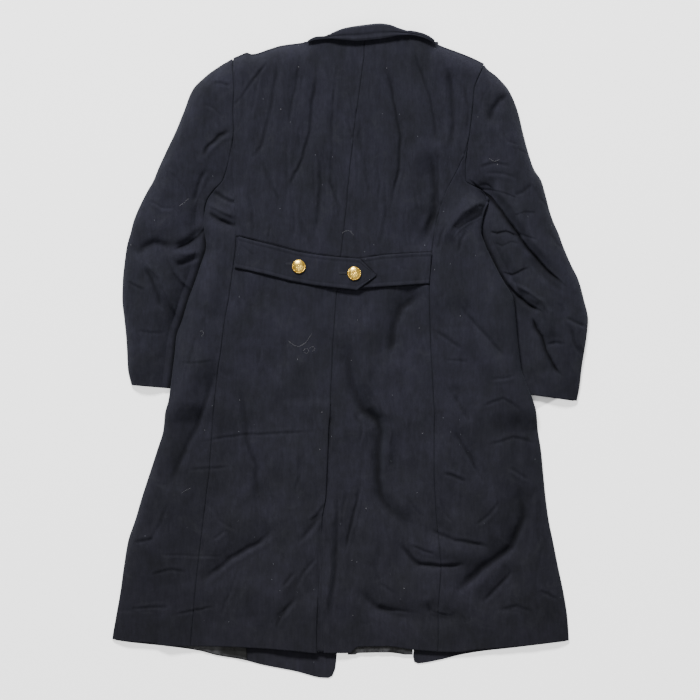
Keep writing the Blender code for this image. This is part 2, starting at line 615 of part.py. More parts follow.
def belt_base(x, y):
    """Upper side of the smoothed back, with the belt's gap between its sewn ends."""
    def plain(px, py):
        return back_height(px, py, with_folds=False)

    ends = ease((x - BELT_ENDS[0]) / BELT_END_WIDTH) * ease((BELT_ENDS[1] - x) / BELT_END_WIDTH)
    gap = LAY_GAP + (BELT_GAP - LAY_GAP) * ends
    return plain(x, y) + upright_thickness(plain, x, y, CLOTH) + gap


def over_belt(x, y):
    """The left belt, lifted where it laps over the right one."""
    return belt_base(x, y) + (SLOPING * CLOTH + LAY_GAP) * ease((x - BELT_LAP_FROM) / BELT_LAP_WIDTH)


def edge_points(knots, count):
    """Points spread evenly along an edge."""
    knots = np.array(knots, float)
    walked = np.concatenate([[0], np.cumsum(np.linalg.norm(np.diff(knots, axis=0), axis=1))])
    at = np.linspace(0, walked[-1], count)
    return np.interp(at, walked, knots[:, 0]), np.interp(at, walked, knots[:, 1])


def add_belt():
    """Half belt: the pointed left tab over the right one, following the back's points moved out."""
    left = np.array(BELT_LEFT_LOW, float).T, np.array(BELT_LEFT_TOP, float).T
    right = edge_points(BELT_RIGHT_LOW, 6), edge_points(BELT_RIGHT_TOP, 6)
    for name, edges, height in (("belt_left", left, over_belt), ("belt_right", right, belt_base)):
        x, y = across(*edges, (0, 0.33, 0.67, 1))
        add_wall(name, x.T, y.T, height)


def add_buttons():
    """Domed brass buttons with a rolled rim, sewn to the half belt."""
    radius, height = BUTTON_RADIUS, BUTTON_HEIGHT
    profile = (
        (0, height), (0.30 * radius, 0.97 * height), (0.58 * radius, 0.85 * height),
        (0.82 * radius, 0.62 * height), (0.88 * radius, 0.52 * height), (0.93 * radius, 0.55 * height),
        (0.98 * radius, 0.48 * height), (radius, 0.36 * height), (0.97 * radius, 0.22 * height),
        (0.88 * radius, 0.12 * height), (0.45 * radius, 0.08 * height), (0.40 * radius, 0), (0, 0),
    )
    for name, (x, y) in BUTTON_MIDDLES.items():
        mesh = bpy.data.meshes.new(name)
        turned = bmesh.new()
        points = [turned.verts.new((r * MM, 0, z * MM)) for r, z in profile]
        for a, b in zip(points, points[1:]):
            turned.edges.new((a, b))
        turned.to_mesh(mesh)
        turned.free()
        button = add_object(name, mesh, "brass")
        screw = button.modifiers.new("turn", "SCREW")
        screw.axis = "Z"
        screw.steps = screw.render_steps = BUTTON_STEPS
        screw.use_merge_vertices = True
        screw.merge_threshold = 0.00001
        screw.use_normal_calculate = True
        place = np.array([x], float), np.array([y], float)
        seat = over_belt(*place) + upright_thickness(over_belt, *place, CLOTH) + LAY_GAP
        button.location = (x * MM, y * MM, float(seat[0]) * MM)


def add_linings():
    """The lining where it shows at the hem: on the left front, and under the right back."""
    places = np.linspace(*LINING_FRONT_SPAN, 7)
    low = smooth(FRONT_HEM_LEFT, places) + FACING_SHOWS
    high = smooth(BACK_HEM, places) + LINING_RUN
    shares = np.linspace(0, 1, 5)[:, None]

    def on_front(x, y):
        return CLOTH + LAY_GAP + 0 * x

    y = low[None, :] + (high - low)[None, :] * shares
    add_wall("lining_front", np.broadcast_to(places, y.shape).copy(), y, on_front, "lining", LINING)

    places = np.linspace(*LINING_BACK_SPAN, 7)
    low = np.maximum(smooth(BACK_HEM, places) - LINING_SHOWS, LINING_LOWEST)
    high = smooth(BACK_HEM, places) + LINING_RUN

    def under_back(x, y):
        return back_height(x, np.maximum(y, HEM_HEIGHT)) - SLOPING * LINING - LINING_DROP

    y = low[None, :] + (high - low)[None, :] * shares
    add_wall("lining_back", np.broadcast_to(places, y.shape).copy(), y, under_back, "lining", LINING)


for old in list(bpy.data.objects):
    bpy.data.objects.remove(old)
COAT = bpy.data.collections.new("wool_overcoat")
bpy.context.scene.collection.children.link(COAT)
MATERIALS = {name: make_material(name) for name in PALETTE}

add_fronts()
add_sleeve("left", SLEEVE_ROWS_LEFT)
add_sleeve("right", SLEEVE_ROWS_RIGHT)
add_backs()
add_collar()
add_belt()
add_buttons()
add_linings()
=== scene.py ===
"""Looks of a navy wool overcoat with a half belt and a long back vent, laid flat face down, back up.

+X is the viewer's right when looking down at the back, +Y runs from the hem to the collar, +Z is up.
Tables are in millimetres unless a comment says otherwise. Left and right are the viewer's.
"""

import bpy
import numpy as np
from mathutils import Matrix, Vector


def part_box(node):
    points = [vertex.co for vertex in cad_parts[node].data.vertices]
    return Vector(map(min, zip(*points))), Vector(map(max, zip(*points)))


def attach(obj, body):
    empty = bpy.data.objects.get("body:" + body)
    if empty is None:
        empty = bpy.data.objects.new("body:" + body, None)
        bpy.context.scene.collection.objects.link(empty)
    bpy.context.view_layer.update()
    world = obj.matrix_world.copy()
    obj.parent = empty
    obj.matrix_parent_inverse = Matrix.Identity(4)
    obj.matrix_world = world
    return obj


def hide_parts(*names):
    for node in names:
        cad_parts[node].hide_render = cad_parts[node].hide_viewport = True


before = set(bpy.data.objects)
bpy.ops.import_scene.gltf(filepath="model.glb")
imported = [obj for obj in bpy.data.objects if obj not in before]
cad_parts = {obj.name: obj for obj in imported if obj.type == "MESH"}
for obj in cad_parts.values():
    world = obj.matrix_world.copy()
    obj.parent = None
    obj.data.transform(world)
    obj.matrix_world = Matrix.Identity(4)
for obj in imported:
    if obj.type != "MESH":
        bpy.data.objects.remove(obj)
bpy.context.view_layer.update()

MM = 0.001

# Driving sizes
CLOTH = 2.2          # thickness of the milled wool
LINING = 1.0         # thickness of the satin lining
SEAM_GAP = 0.3       # between two pieces that are sewn edge to edge
LAY_GAP = 0.4        # between a piece and the piece that it lies on
SIDE_ROLL = 50.0     # width of the soft roll along the side folds
OUTER_ROLL = 42.0    # width of the roll along the shoulders and the sleeves' outer folds
STEEPEST = 1.8       # a sloping wall is at most this many times as thick, measured upright
SLOPING = 1.1        # and a gently sloping one this many times

COLLAR_CROWN = 2.5   # how far the collar's fall stands off the stand
COLLAR_DROOP = 9.0   # how far its fold turns down
COLLAR_NARROW = 6.0  # where the fall is no wider than this it neither crowns nor droops
COLLAR_FULL = 20.0   # where it is wider than this it does both in full
COLLAR_FOLDS_AT = 0.84   # share of its width at which the fall starts to turn down
COLLAR_SPAN = (-80.0, 161.0)
COLLAR_END_LIFT = 3.5   # how far its ends stand off the rolled shoulders
COLLAR_END_FROM = 85.0  # that lift starts this far from the middle of the neck
COLLAR_END_WIDTH = 25.0
COLLAR_LIFT = 4.6    # how far the edge of the sheet that shows stands off the back
COLLAR_ROLL = (1.7, 0.12, 0.11)     # its edge swells: height, and place and width as shares of its depth
COLLAR_GROOVE = (0.9, 0.36, 0.09)   # and is hollow beyond
COLLAR_UNDER = (9.0, 3.0)   # its fold rolls down to these heights, above the neck and beside it
STAND_SPAN = (-22.0, 80.0)
STAND_SHARE = 0.55   # how far the stand runs up inside the fall
BELT_GAP = 0.7       # the half belt stands this far off the back between its sewn ends
BELT_ENDS = (-205.0, 145.0)
BELT_END_WIDTH = 40.0
BELT_LAP_FROM = -55.0   # the left belt rises onto the right one from here
BELT_LAP_WIDTH = 36.0
BELT_THICK = 2.6
BELT_RIM = (0.6, 0.05, 0.035)      # its pressed edge: height, and place and width as shares of its width
BELT_GROOVE = (0.35, 0.13, 0.03)   # and the groove inside it
BELT_LIFT = 0.4      # the sheets that show lie this far above the solids
TAB_SHADOW = 2.2     # width of the painted shadow round the lapping tab
BUTTON_RADIUS = 13.1
BUTTON_HEIGHT = 6.2
STITCH = 0.62        # spacing of a buttonhole's stitches

VENT_TOP = -101.0    # where the centre-back seam ends and the vent begins
VENT_LIFT = 3.6      # how far the lapping side of the vent stands above the underlay
VENT_RISE = 50.0     # width over which it rises, beside the underlay
VENT_START = 14.0    # it rises from this far above the vent's top
VENT_START_RUN = 20.0
UNDERLAY_WIDTH = 50.0
UNDERLAY_MARGIN = 5.0   # flat width that the lapping side keeps beside the underlay

SLEEVE_FLAT = 5.0    # clear height inside the part of a sleeve that lies under the body
SLEEVE_PRESSED = 17.0   # the sleeve stays that flat this far outside the body's side fold
SLEEVE_RISE = 55.0   # from there it rises to its full height over this width
HIDDEN_ROLLS = (25.0, 20.0)   # widths of the rolls along the flat part's inner and outer folds
CREASE_FADE = (30.0, 25.0)    # creases fade over these widths at the outer fold and beside the body
ARMHOLE_BLEND = 60.0   # back and sleeve take the seam's height over this width beside it
TUCK = 6.2           # the layer underneath keeps this far inside a fold
ARMPIT_TUCK = 13.0   # and the under sleeve comes this far out at the armpit
ARMPIT_SPAN = (228.0, 16.0, 24.0)   # from this height up, rising and falling over these runs
FRONT_RISE = 13.0    # how far a front is lifted where it lies on the sleeve
RISE_BEFORE = 30.0   # the lift starts this far inside the sleeve's hidden fold
RISE_WIDTH = 55.0
RISE_SPAN = {"left": (-140.0, 306.0), "right": (-155.0, 285.0)}   # heights between which it is lifted
RISE_FADE = 45.0
FLATTEST = {"body": 0.25, "sleeve": 0.35}   # troughs leave at least this share of the clear height

# Sections across the coat, a row a height: where each lengthwise line crosses it.
# out_ are the sleeves' outer folds, in_ their inner folds, side_ the body's side folds and, above the
# armpits, the armhole seams, seam_ the side-back seams and centre the centre-back seam and vent edge.
SECTION_COLUMNS = ("height", "out_left", "in_left", "side_left", "seam_left", "centre",
                   "seam_right", "side_right", "in_right", "out_right")
SECTIONS = (
    (-575, None, None, -454, -304, -63, 167, 417, None, None),
    (-548, None, None, -452, -302, -64, 168, 416, None, None),
    (-505, None, None, -445, -298, -63, 168, 413, None, None),
    (-460, None, None, -437, -294, -60, 170, 406, None, None),
    (-410, None, None, -430, -289, -56, 173, 395.5, None, None),
    (-362, None, None, -422, -283, -54, 169, 386, None, None),
    (-320, None, None, -408, -278, -53, 165, 377.5, None, None),
    (-276, None, None, -395, -273, -46, 162, 371.5, None, None),
    (-230, None, None, -380, -267, -44, 160, 367, None, None),
    (-188, None, None, -366.5, -264, -42, 160, 363, None, None),
    (-150, None, None, -355, -261, -41, 160, 357, None, None),
    (-118, None, None, -351.5, -259, -38, 161, 354, None, None),
    (-95, None, -275, -345, -257, -37, 159, 348, 287, 431),
    (-70, -414, -274, -341, -254, -36, 158, 338, 284, 436),
    (-32, -422.5, -268, -336, -250, -34, 156, 325, 273, 440.5),
    (0, -424, -263, -332, -245, -33, 154, 321, 268, 445.5),
    (25, -425.5, -260, -330, -242, -31, 153, 318, 265, 449.5),
    (60, -429, -257, -318, -237, -29, 152, 315, 260, 452.5),
    (100, -433, -254, -306, -230, -26, 151, 310, 254, 444),
    (135, -432, -254, -293, -225, -23, 151, 290, 250, 434.5),
    (165, -429, -258, -283, -221, -19, 153, 274, 247, 420),
    (200, -424, -262, -273, -217, -15, 157, 258, 246, 405),
    (225, -417, -266, -276, -216, -12, 161, 250, 247, 396),
    (245, -412, -273, -278, -217, -10, 165, 252, 251, 387),
    (268, -403, -276.6, -275.4, -218, -7, 171, 257, 257.6, 379),
    (287, -394, -271.2, -270.4, -219, -5, 177, 264, 264.6, 374),
    (306, -384, -258, -258, -220, -4, 184, 248, 248.6, 369),
    (323, -374, -242, -242, -221, -2, 192, 220, 220, 364),
    (345, -365, -234, -234, -223, 0, 204, 219, 219, 350),
    (380, -349, -226, -226, -224, 4, 217, 221, 221, 338),
    (418, -331, -221, -221, None, 8, None, 228, 228, 328),
    (455, -316, -222, -222, None, 13, None, 232, 232, 319),
    (497, -299, -220, -220, None, 19, None, 236, 236, 301),
    (520, -277, -221, -221, None, 22, None, 244, 244, 281),
    (545, -243, -222, -222, None, 25, None, 254, 254, 256),
    (557, -222, -221, -221, None, 27, None, 256, 256, 256),
)

# Edges that run across the coat, a row a knot: (across, height)
BACK_HEM = ((-454, -547), (-431, -551), (-380, -554), (-340, -561), (-258, -561), (-169, -565),
            (-103, -570), (-63, -574), (-2, -574), (16, -562), (71, -561), (125, -568), (200, -572),
            (243, -567), (310, -562), (417, -550))
FRONT_HEM_LEFT = ((-454, -548), (-431, -552), (-340, -562), (-285, -570), (-255, -578), (-203, -587),
                  (-169, -596), (-103, -609), (-51, -621.3), (-36, -621.7), (0, -621.7))
FRONT_HEM_RIGHT = ((100, -594), (126, -594), (171, -587), (207, -578), (247, -571), (310, -564), (417, -551))
SHOULDERS = ((-221, 557), (-209, 562), (-196, 567), (-187, 564), (-152, 574), (-132, 580), (-90, 586),
             (-70, 590), (-38, 593), (14, 597), (66, 600), (92, 602), (113, 602), (135, 598), (154, 589),
             (170, 581), (207, 567), (234, 556), (256, 545))
COLLAR_FOLD = ((-87, 585), (-63, 595), (-48, 596), (-33, 604), (-12, 612), (14, 617), (36, 620),
               (55, 621.7), (75, 619), (94, 612), (116, 606), (133, 603), (148, 597), (159, 590), (168, 581))
COLLAR_EDGE = ((-87, 582), (-70, 588), (-38, 591), (-16, 589), (14, 587), (40, 589), (66, 592), (92, 597),
               (113, 598), (135, 594), (154, 586), (168, 578))

# Front edges and necklines, a row a knot: (height, across)
FRONT_EDGE_LEFT = ((-622, -42), (-617, -33), (-608, -29), (-575, -25), (-300, -12), (0, 5), (250, 20),
                   (400, 30), (455, 30), (500, 3), (545, -42), (583, -88))
FRONT_EDGE_RIGHT = ((-594, 129), (-590, 121), (-585, 119), (-575, 121), (-300, 112), (0, 95), (200, 75),
                    (400, 50), (455, 48), (500, 75), (545, 120), (583, 168))

# How far the vent's underlay shows beside the lapping edge: (height, width)
VENT_REVEAL = ((-575, 14), (-500, 12), (-460, 9), (-412, 3), (-287, 1), (VENT_TOP, SEAM_GAP))

# Clear height between back and fronts, and inside the sleeves: (height along the coat, clear height)
BODY_CROWN = ((-575, 5), (-530, 9), (-450, 14), (-350, 17), (-200, 19), (0, 20), (150, 20), (300, 22),
              (420, 25), (520, 25), (600, 24))
SLEEVE_CROWN = ((-95, 10), (-60, 13), (0, 16), (100, 19), (200, 20), (300, 22), (400, 24), (560, 24))
ARMHOLE_CROWN = ((300, 10), (323, 14), (345, 18), (380, 22), (420, 23), (560, 23))

# Where each cross row of a sleeve starts and ends: (height on the inner fold, height on the outer fold)
SLEEVE_ROWS_LEFT = ((-77, -65), (-28, -20), (48, 50), (128, 120), (195, 170), (235, 215), (268, 250),
                    (306, 285), (342, 340), (378, 385), (418, 432), (454, 476), (498, 515), (535, 546),
                    (552, 555))
SLEEVE_ROWS_RIGHT = ((-76, -95), (-25, -40), (40, 30), (120, 90), (180, 140), (228, 190), (268, 235),
                     (306, 280), (323, 310), (350, 355), (385, 395), (425, 435), (460, 470), (495, 503),
                     (525, 532), (541, 543))
SEAM_APEX = 395       # the side-back seams run into the armholes here
SEAM_END = 0.35       # width that the sides keep at their upper ends
ARMPIT_LEFT = 306
ARMPIT_RIGHT = 323

# The largest folds, a row each: name, half width, depth (minus for a trough, plus for a ridge) and
# the path that it follows.
BODY_FOLDS = (
    ("neck pull", 15, -3, ((-97, 540), (-114, 435), (-112, 405))),
    ("left blade pull", 15, -3, ((-61, 540), (-68, 466), (-76, 405), (-99, 344), (-112, 304))),
    ("left centre pull", 15, -3, ((-30, 483), (-35, 422), (-33, 353), (-38, 317), (-21, 270))),
    ("left blade edge", 16, -2.5, ((-143, 540), (-155, 496), (-160, 431), (-188, 357))),
    ("left waist pull", 15, -3, ((-68, 395), (-59, 344), (-57, 279), (-63, 200))),
    ("right centre pull", 16, -4.5, ((55, 547), (84, 475), (99, 395), (95, 334), (84, 270))),
    ("right blade pull", 15, -3, ((125, 566), (143, 496), (160, 439), (165, 371))),
    ("right blade hollow", 24, -5, ((186, 540), (198, 466), (192, 388))),
    ("right waist hollow", 30, -9, ((149, 388), (154, 334), (167, 274), (144, 226), (124, 170))),
    ("right armpit roll", 15, 8, ((268, 283), (239, 277), (213, 259), (192, 238), (186, 200))),
    ("right armpit roll, under", 13, -6, ((247, 262), (230, 250), (209, 232), (194, 215))),
    ("left armpit crease", 13, -5, ((-270, 263), (-247, 247), (-205, 232))),
    ("left hip hollow", 24, -5, ((-239, -20), (-257, -42), (-285, -131), (-319, -201), (-352, -290))),
    ("left back hollow", 19, -4, ((-205, -30), (-200, -127), (-196, -177), (-179, -220), (-170, -330))),
    ("left skirt drag", 20, -4, ((-130, -320), (-181, -369), (-231, -395), (-300, -450))),
    ("left hem dip", 16, -3, ((-95, -455), (-133, -504), (-145, -560))),
    ("under the belt", 24, -6, ((143, 130), (97, 84), (82, 42), (73, -40))),
    ("vent trough", 16, -6, ((-8, 45), (6, -65), (27, -114), (58, -140), (55, -215), (58, -275), (84, -310),
                             (140, -355))),
    ("vent ridge", 15, 5, ((20, 25), (32, -59), (67, -122), (72, -160), (67, -215), (84, -270))),
    ("right hip drag", 15, -4, ((190, 105), (244, 42), (310, -35))),
    ("right seam drag", 15, -3.5, ((190, -60), (228, -137))),
    ("right skirt drag", 15, -3.5, ((190, -140), (228, -198), (255, -255))),
    ("right skirt cross fold", 15, -3.5, ((130, -335), (200, -359), (285, -377))),
    ("right skirt step", 15, -3.5, ((80, -355), (126, -405), (240, -407))),
    ("right skirt shadow", 26, -8, ((324, -235), (328, -315), (306, -374), (255, -410), (207, -454),
                                    (190, -485))),
    ("right skirt second shadow", 19, -5, ((325, -405), (235, -492))),
    ("right hem step", 15, -4, ((0, -435), (49, -490), (140, -508))),
    ("right hem gather", 15, -4, ((145, -470), (160, -505), (215, -507))),
    ("vent side hollow", 16, -3, ((22, -240), (2, -327), (-12, -400))),
)
SLEEVE_FOLDS = (
    ("left armpit pocket", 15, -7, ((-270, 228), (-304, 202), (-345, 188))),
    ("left inner ridge", 14, 4, ((-285, 180), (-340, 180))),
    ("left inner valley", 14, -5, ((-275, 178), (-340, 155))),
    ("left elbow ridge", 15, 5, ((-405, 190), (-374, 154), (-344, 103), (-320, 45))),
    ("left elbow dent", 17, -7, ((-405, 170), (-393, 196), (-360, 205), (-332, 180))),
    ("left head dent", 14, -3, ((-222, 420), (-266, 390))),
    ("right overhang", 16, 5, ((232, 345), (285, 300), (320, 258), (355, 205), (405, 148))),
    ("right overhang, under", 17, -9, ((235, 305), (262, 285), (300, 235), (338, 180), (385, 125))),
    ("right inner ridge", 14, 7, ((290, 145), (344, 108), (366, 92), (376, 60), (382, 10))),
    ("right inner valley", 14, -5, ((340, 65), (366, 23), (384, -27), (405, -60))),
    ("right head dent", 15, -5, ((301, 490), (272, 458), (268, 420))),
)

# Half belt, as its two long edges from the left end to the right
BELT_LEFT_TOP = ((-211, 217), (-179, 208), (-147, 200), (-98, 187), (-56, 181), (-28, 178), (0, 176),
                 (19, 174), (49, 143.5))
BELT_LEFT_LOW = ((-219, 158), (-189, 152), (-154, 144), (-112, 133), (-70, 125), (-28, 120), (0, 117),
                 (13, 115), (49, 142.5))
BELT_RIGHT_TOP = ((-15, 173), (14, 174), (64, 182), (122, 186), (155, 187))
BELT_RIGHT_LOW = ((-15, 120), (14, 119), (64, 122), (93, 124), (150, 128))
# Outline of the left belt's pointed end
TAB = ((13, 115), (49, 142.5), (49, 143.5), (19, 174), (-10, 176))

# Collar ends beside the neck opening: the left one's free edge from the shoulder to the front.
# The right one's free edge mirrors it about the middle of the neck.
COLLAR_END_INNER = ((-56, 588), (-10, 574), (22, 545), (36, 505))
MIDDLE = 39.0

# Where the lining shows at the hem: its side edges, how far up it runs and how far it shows
LINING_FRONT_SPAN = (-318, -196)
LINING_BACK_SPAN = (-4, 116)
LINING_RUN = 70.0
LINING_SHOWS = 12.0
LINING_LOWEST = -577.0   # the back's lining ends here at the lowest
FACING_SHOWS = 2.0   # width of wool that shows below the front's lining
HEM_HEIGHT = -575.0  # heights are known down to here
LINING_DROP = 1.6    # the back's lining hangs this far below the wool


def smooth(knots, at):
    """A curve through the knots (place, value) that swings past none of them."""
    x, y = np.array(knots, float).T
    at = np.clip(np.asarray(at, float), x[0], x[-1])
    step = np.diff(x)
    slope = np.diff(y) / step
    lean = np.zeros_like(y)
    same = slope[:-1] * slope[1:] > 0
    weight = (2 * step[1:] + step[:-1], step[1:] + 2 * step[:-1])
    safe = np.where(same, slope[:-1], 1), np.where(same, slope[1:], 1)
    lean[1:-1] = np.where(same, (weight[0] + weight[1]) / (weight[0] / safe[0] + weight[1] / safe[1]), 0)
    lean[0], lean[-1] = slope[0], slope[-1]
    i = np.clip(np.searchsorted(x, at) - 1, 0, len(step) - 1)
    t = (at - x[i]) / step[i]
    return (
        y[i] * (1 + 2 * t) * (1 - t) ** 2
        + lean[i] * step[i] * t * (1 - t) ** 2
        + y[i + 1] * t * t * (3 - 2 * t)
        + lean[i + 1] * step[i] * t * t * (t - 1)
    )


def line(name, height):
    """Where a lengthwise line of the sections lies at a height."""
    column = SECTION_COLUMNS.index(name)
    return smooth([(row[0], row[column]) for row in SECTIONS if row[column] is not None], height)


def ease(t):
    """A soft step from 0 to 1."""
    t = np.clip(t, 0, 1)
    return t * t * (3 - 2 * t)


def roll(distance, width):
    """The rise of a cushioned edge: 0 at the edge, 1 from width inward."""
    return 1 - (1 - np.clip(distance / width, 0, 1)) ** 3


def along_path(x, y, path):
    """How far points lie from a path, and how far along it, from 0 to 1."""
    path = np.array(path, float)
    lengths = np.linalg.norm(np.diff(path, axis=0), axis=1)
    start = np.concatenate([[0], np.cumsum(lengths)])
    nearest = np.full(np.shape(x), np.inf)
    share = np.zeros(np.shape(x))
    for k, length in enumerate(lengths):
        (ax, ay), (bx, by) = path[k], path[k + 1]
        t = np.clip(((x - ax) * (bx - ax) + (y - ay) * (by - ay)) / length**2, 0, 1)
        far = np.hypot(x - ax - t * (bx - ax), y - ay - t * (by - ay))
        closer = far < nearest
        share = np.where(closer, (start[k] + t * length) / start[-1], share)
        nearest = np.where(closer, far, nearest)
    return nearest, share


def fading(share, start, end):
    """A fold's strength along its path: it swells over the start's share and fades over the end's."""
    return ease(share / start) * ease((1 - share) / end)


def folds(x, y, table):
    """The height that a table's folds add, each fading out towards its ends."""
    total = np.zeros(np.shape(x))
    for _, half_width, depth, path in table:
        far, share = along_path(x, y, path)
        total += depth * np.exp(-((far / half_width) ** 2)) * fading(share, 0.25, 0.25)
    return total


def outline(name, low, high, count=40):
    """Points along a lengthwise line between two heights."""
    heights = np.linspace(low, high, count)
    return list(zip(line(name, heights), heights))


def outer_path(side):
    """The free outline of one arm and shoulder, from the cuff to the neck."""
    arm = outline("out_" + side, -95, 545)
    ends = (-221, -90) if side == "left" else (250, 170)
    across = np.linspace(*ends, 16)
    return arm + list(zip(across, smooth(SHOULDERS, across)))


OUTER = {side: outer_path(side) for side in ("left", "right")}
SIDE = {"left": outline("side_left", -575, ARMPIT_LEFT), "right": outline("side_right", -575, 300)}
ARMHOLE = {"left": outline("side_left", ARMPIT_LEFT, 557), "right": outline("side_right", ARMPIT_RIGHT, 545)}
INNER = {"left": outline("in_left", -95, ARMPIT_LEFT), "right": outline("in_right", -95, ARMPIT_RIGHT)}


def to_outer(x, y):
    return np.minimum(along_path(x, y, OUTER["left"])[0], along_path(x, y, OUTER["right"])[0])


def to_side(x, y):
    return np.minimum(along_path(x, y, SIDE["left"])[0], along_path(x, y, SIDE["right"])[0])


def to_armhole(x, y):
    return np.minimum(along_path(x, y, ARMHOLE["left"])[0], along_path(x, y, ARMHOLE["right"])[0])


def armhole_height(x, y):
    """Underside of back and sleeve where they meet at the armhole seam."""
    return CLOTH + LAY_GAP + smooth(ARMHOLE_CROWN, y) * roll(to_outer(x, y), OUTER_ROLL)


def front_height(x, y):
    """Underside of the fronts: on the ground, and lifted where they lie on a sleeve."""
    total = 0 * x
    for side, outward in (("left", -1), ("right", 1)):
        low, high = RISE_SPAN[side]
        over_cuff = ease((high - y) / RISE_FADE) * ease((y - low) / RISE_FADE)
        beyond = outward * (x - line("in_" + side, y)) + RISE_BEFORE
        total = total + FRONT_RISE * ease(beyond / RISE_WIDTH) * over_cuff
    return total


def body_clearance(x, y, with_folds=True):
    """Clear height between the fronts and the back."""
    edge = roll(to_side(x, y), SIDE_ROLL) * roll(to_outer(x, y), OUTER_ROLL)
    clear = smooth(BODY_CROWN, y) * edge
    if not with_folds:
        return clear
    return np.maximum(clear + folds(x, y, BODY_FOLDS) * edge, FLATTEST["body"] * clear)


def back_height(x, y, with_folds=True):
    """Underside of the back."""
    free = front_height(x, y) + SLOPING * CLOTH + LAY_GAP + body_clearance(x, y, with_folds)
    sewn = armhole_height(x, y)
    return sewn + (free - sewn) * ease(to_armhole(x, y) / ARMHOLE_BLEND)


def vent_lift(x, y):
    """How far the lapping side of the vent is lifted over the underlay."""
    beside = line("centre", y) - x
    across = ease((UNDERLAY_WIDTH + UNDERLAY_MARGIN + VENT_RISE - beside) / VENT_RISE)
    return VENT_LIFT * across * ease((VENT_TOP + VENT_START - y) / VENT_START_RUN)


def sleeve_height(side):
    """Underside of a sleeve's upper wall."""
    def height(x, y):
        inner = along_path(x, y, INNER[side])[0]
        outer = along_path(x, y, OUTER[side])[0]
        body = along_path(x, y, SIDE[side])[0]
        inward = x > line("side_left", y) if side == "left" else x < line("side_right", y)
        armpit = ARMPIT_LEFT if side == "left" else ARMPIT_RIGHT
        body = np.where(inward & (y < armpit), 0, body)
        beside_body = body - SLEEVE_PRESSED
        hidden = SLEEVE_FLAT * roll(inner, HIDDEN_ROLLS[0]) * roll(outer, HIDDEN_ROLLS[1])
        crown = smooth(SLEEVE_CROWN, y)
        shown = (crown - SLEEVE_FLAT) * roll(beside_body, SLEEVE_RISE) * roll(outer, OUTER_ROLL)
        clear = hidden + shown
        fade = roll(outer, CREASE_FADE[0]) * roll(beside_body, CREASE_FADE[1])
        creased = clear + folds(x, y, SLEEVE_FOLDS) * fade
        free = CLOTH + LAY_GAP + np.maximum(creased, FLATTEST["sleeve"] * clear)
        sewn = armhole_height(x, y)
        return sewn + (free - sewn) * ease(to_armhole(x, y) / ARMHOLE_BLEND)
    return height


def upright_thickness(height, x, y, thickness):
    """Thickness measured upright of a wall that follows a sloping height."""
    step = 0.5
    slope = np.hypot(
        (height(x + step, y) - height(x - step, y)) / (2 * step),
        (height(x, y + step) - height(x, y - step)) / (2 * step),
    )
    return thickness * np.minimum(np.sqrt(1 + slope**2), STEEPEST)


def body_row(share, x):
    """Height of a cross row of the body at a place across: 0 is the hem and 1 the shoulders."""
    hem = smooth(BACK_HEM, x)
    return hem + share * (smooth(SHOULDERS, x) - hem)


def on_row(share, edge, row=body_row):
    """Where a lengthwise edge, given as a function of height, crosses a cross row."""
    height = row(share, 0 * share)
    for _ in range(12):
        x = edge(height)
        height = row(share, x)
    return x, height


def back_top(x, y):
    """Upper side of the back."""
    return back_height(x, y) + upright_thickness(back_height, x, y, CLOTH)


def fall_height(x, y):
    """Underside of the collar's fall: on the back at its edge, over the stand, and round its fold."""
    fold, edge = smooth(COLLAR_FOLD, x), smooth(COLLAR_EDGE, x)
    share = np.clip((y - edge) / (fold - edge), 0, 1)
    wide = ease((fold - edge - COLLAR_NARROW) / (COLLAR_FULL - COLLAR_NARROW))
    crown = COLLAR_CROWN * wide * np.sin(np.pi * np.minimum(share, COLLAR_FOLDS_AT))
    droop = COLLAR_DROOP * wide * ease((share - COLLAR_FOLDS_AT) / (1 - COLLAR_FOLDS_AT))
    clear = LAY_GAP + COLLAR_END_LIFT * ease((abs(x - MIDDLE) - COLLAR_END_FROM) / COLLAR_END_WIDTH)
    return back_top(x, y) + clear + crown - droop


def belt_base(x, y):
    """Upper side of the smoothed back, with the belt's gap between its sewn ends."""
    def plain(px, py):
        return back_height(px, py, with_folds=False)

    ends = ease((x - BELT_ENDS[0]) / BELT_END_WIDTH) * ease((BELT_ENDS[1] - x) / BELT_END_WIDTH)
    gap = LAY_GAP + (BELT_GAP - LAY_GAP) * ends
    return plain(x, y) + upright_thickness(plain, x, y, CLOTH) + gap


def over_belt(x, y):
    """The left belt, lifted where it laps over the right one."""
    return belt_base(x, y) + (SLOPING * CLOTH + LAY_GAP) * ease((x - BELT_LAP_FROM) / BELT_LAP_WIDTH)


def edge_points(knots, shares, by_knot=False):
    """Points at shares of an edge's length or, by knot, of its number of knots."""
    knots = np.array(knots, float)
    walked = np.concatenate([[0], np.cumsum(np.linalg.norm(np.diff(knots, axis=0), axis=1))])
    if by_knot:
        walked = np.linspace(0, 1, len(knots))
    return [np.interp(shares * walked[-1], walked, column) for column in knots.T]


# ---------------------------------------------------------------- finer folds
PIXEL = 1.9          # the crease tables below are in the photograph's pixels, of this size
PHOTO_SIZE = 700     # pixels across the photograph, and down it
PHOTO_MIDDLE = (350, 351)   # the pixel at the origin

STEP = 2.0           # spacing of the points of a sheet that shows
SLEEVE_STEP = 1.6
COARSE = 7.0         # spacing on a piece that hardly shows
COLLAR_STEP = 1.6
BELT_STEP = 1.6
BODY_LENGTH = 1130.0
EDGE_POINTS = 8      # points that every edge profile has

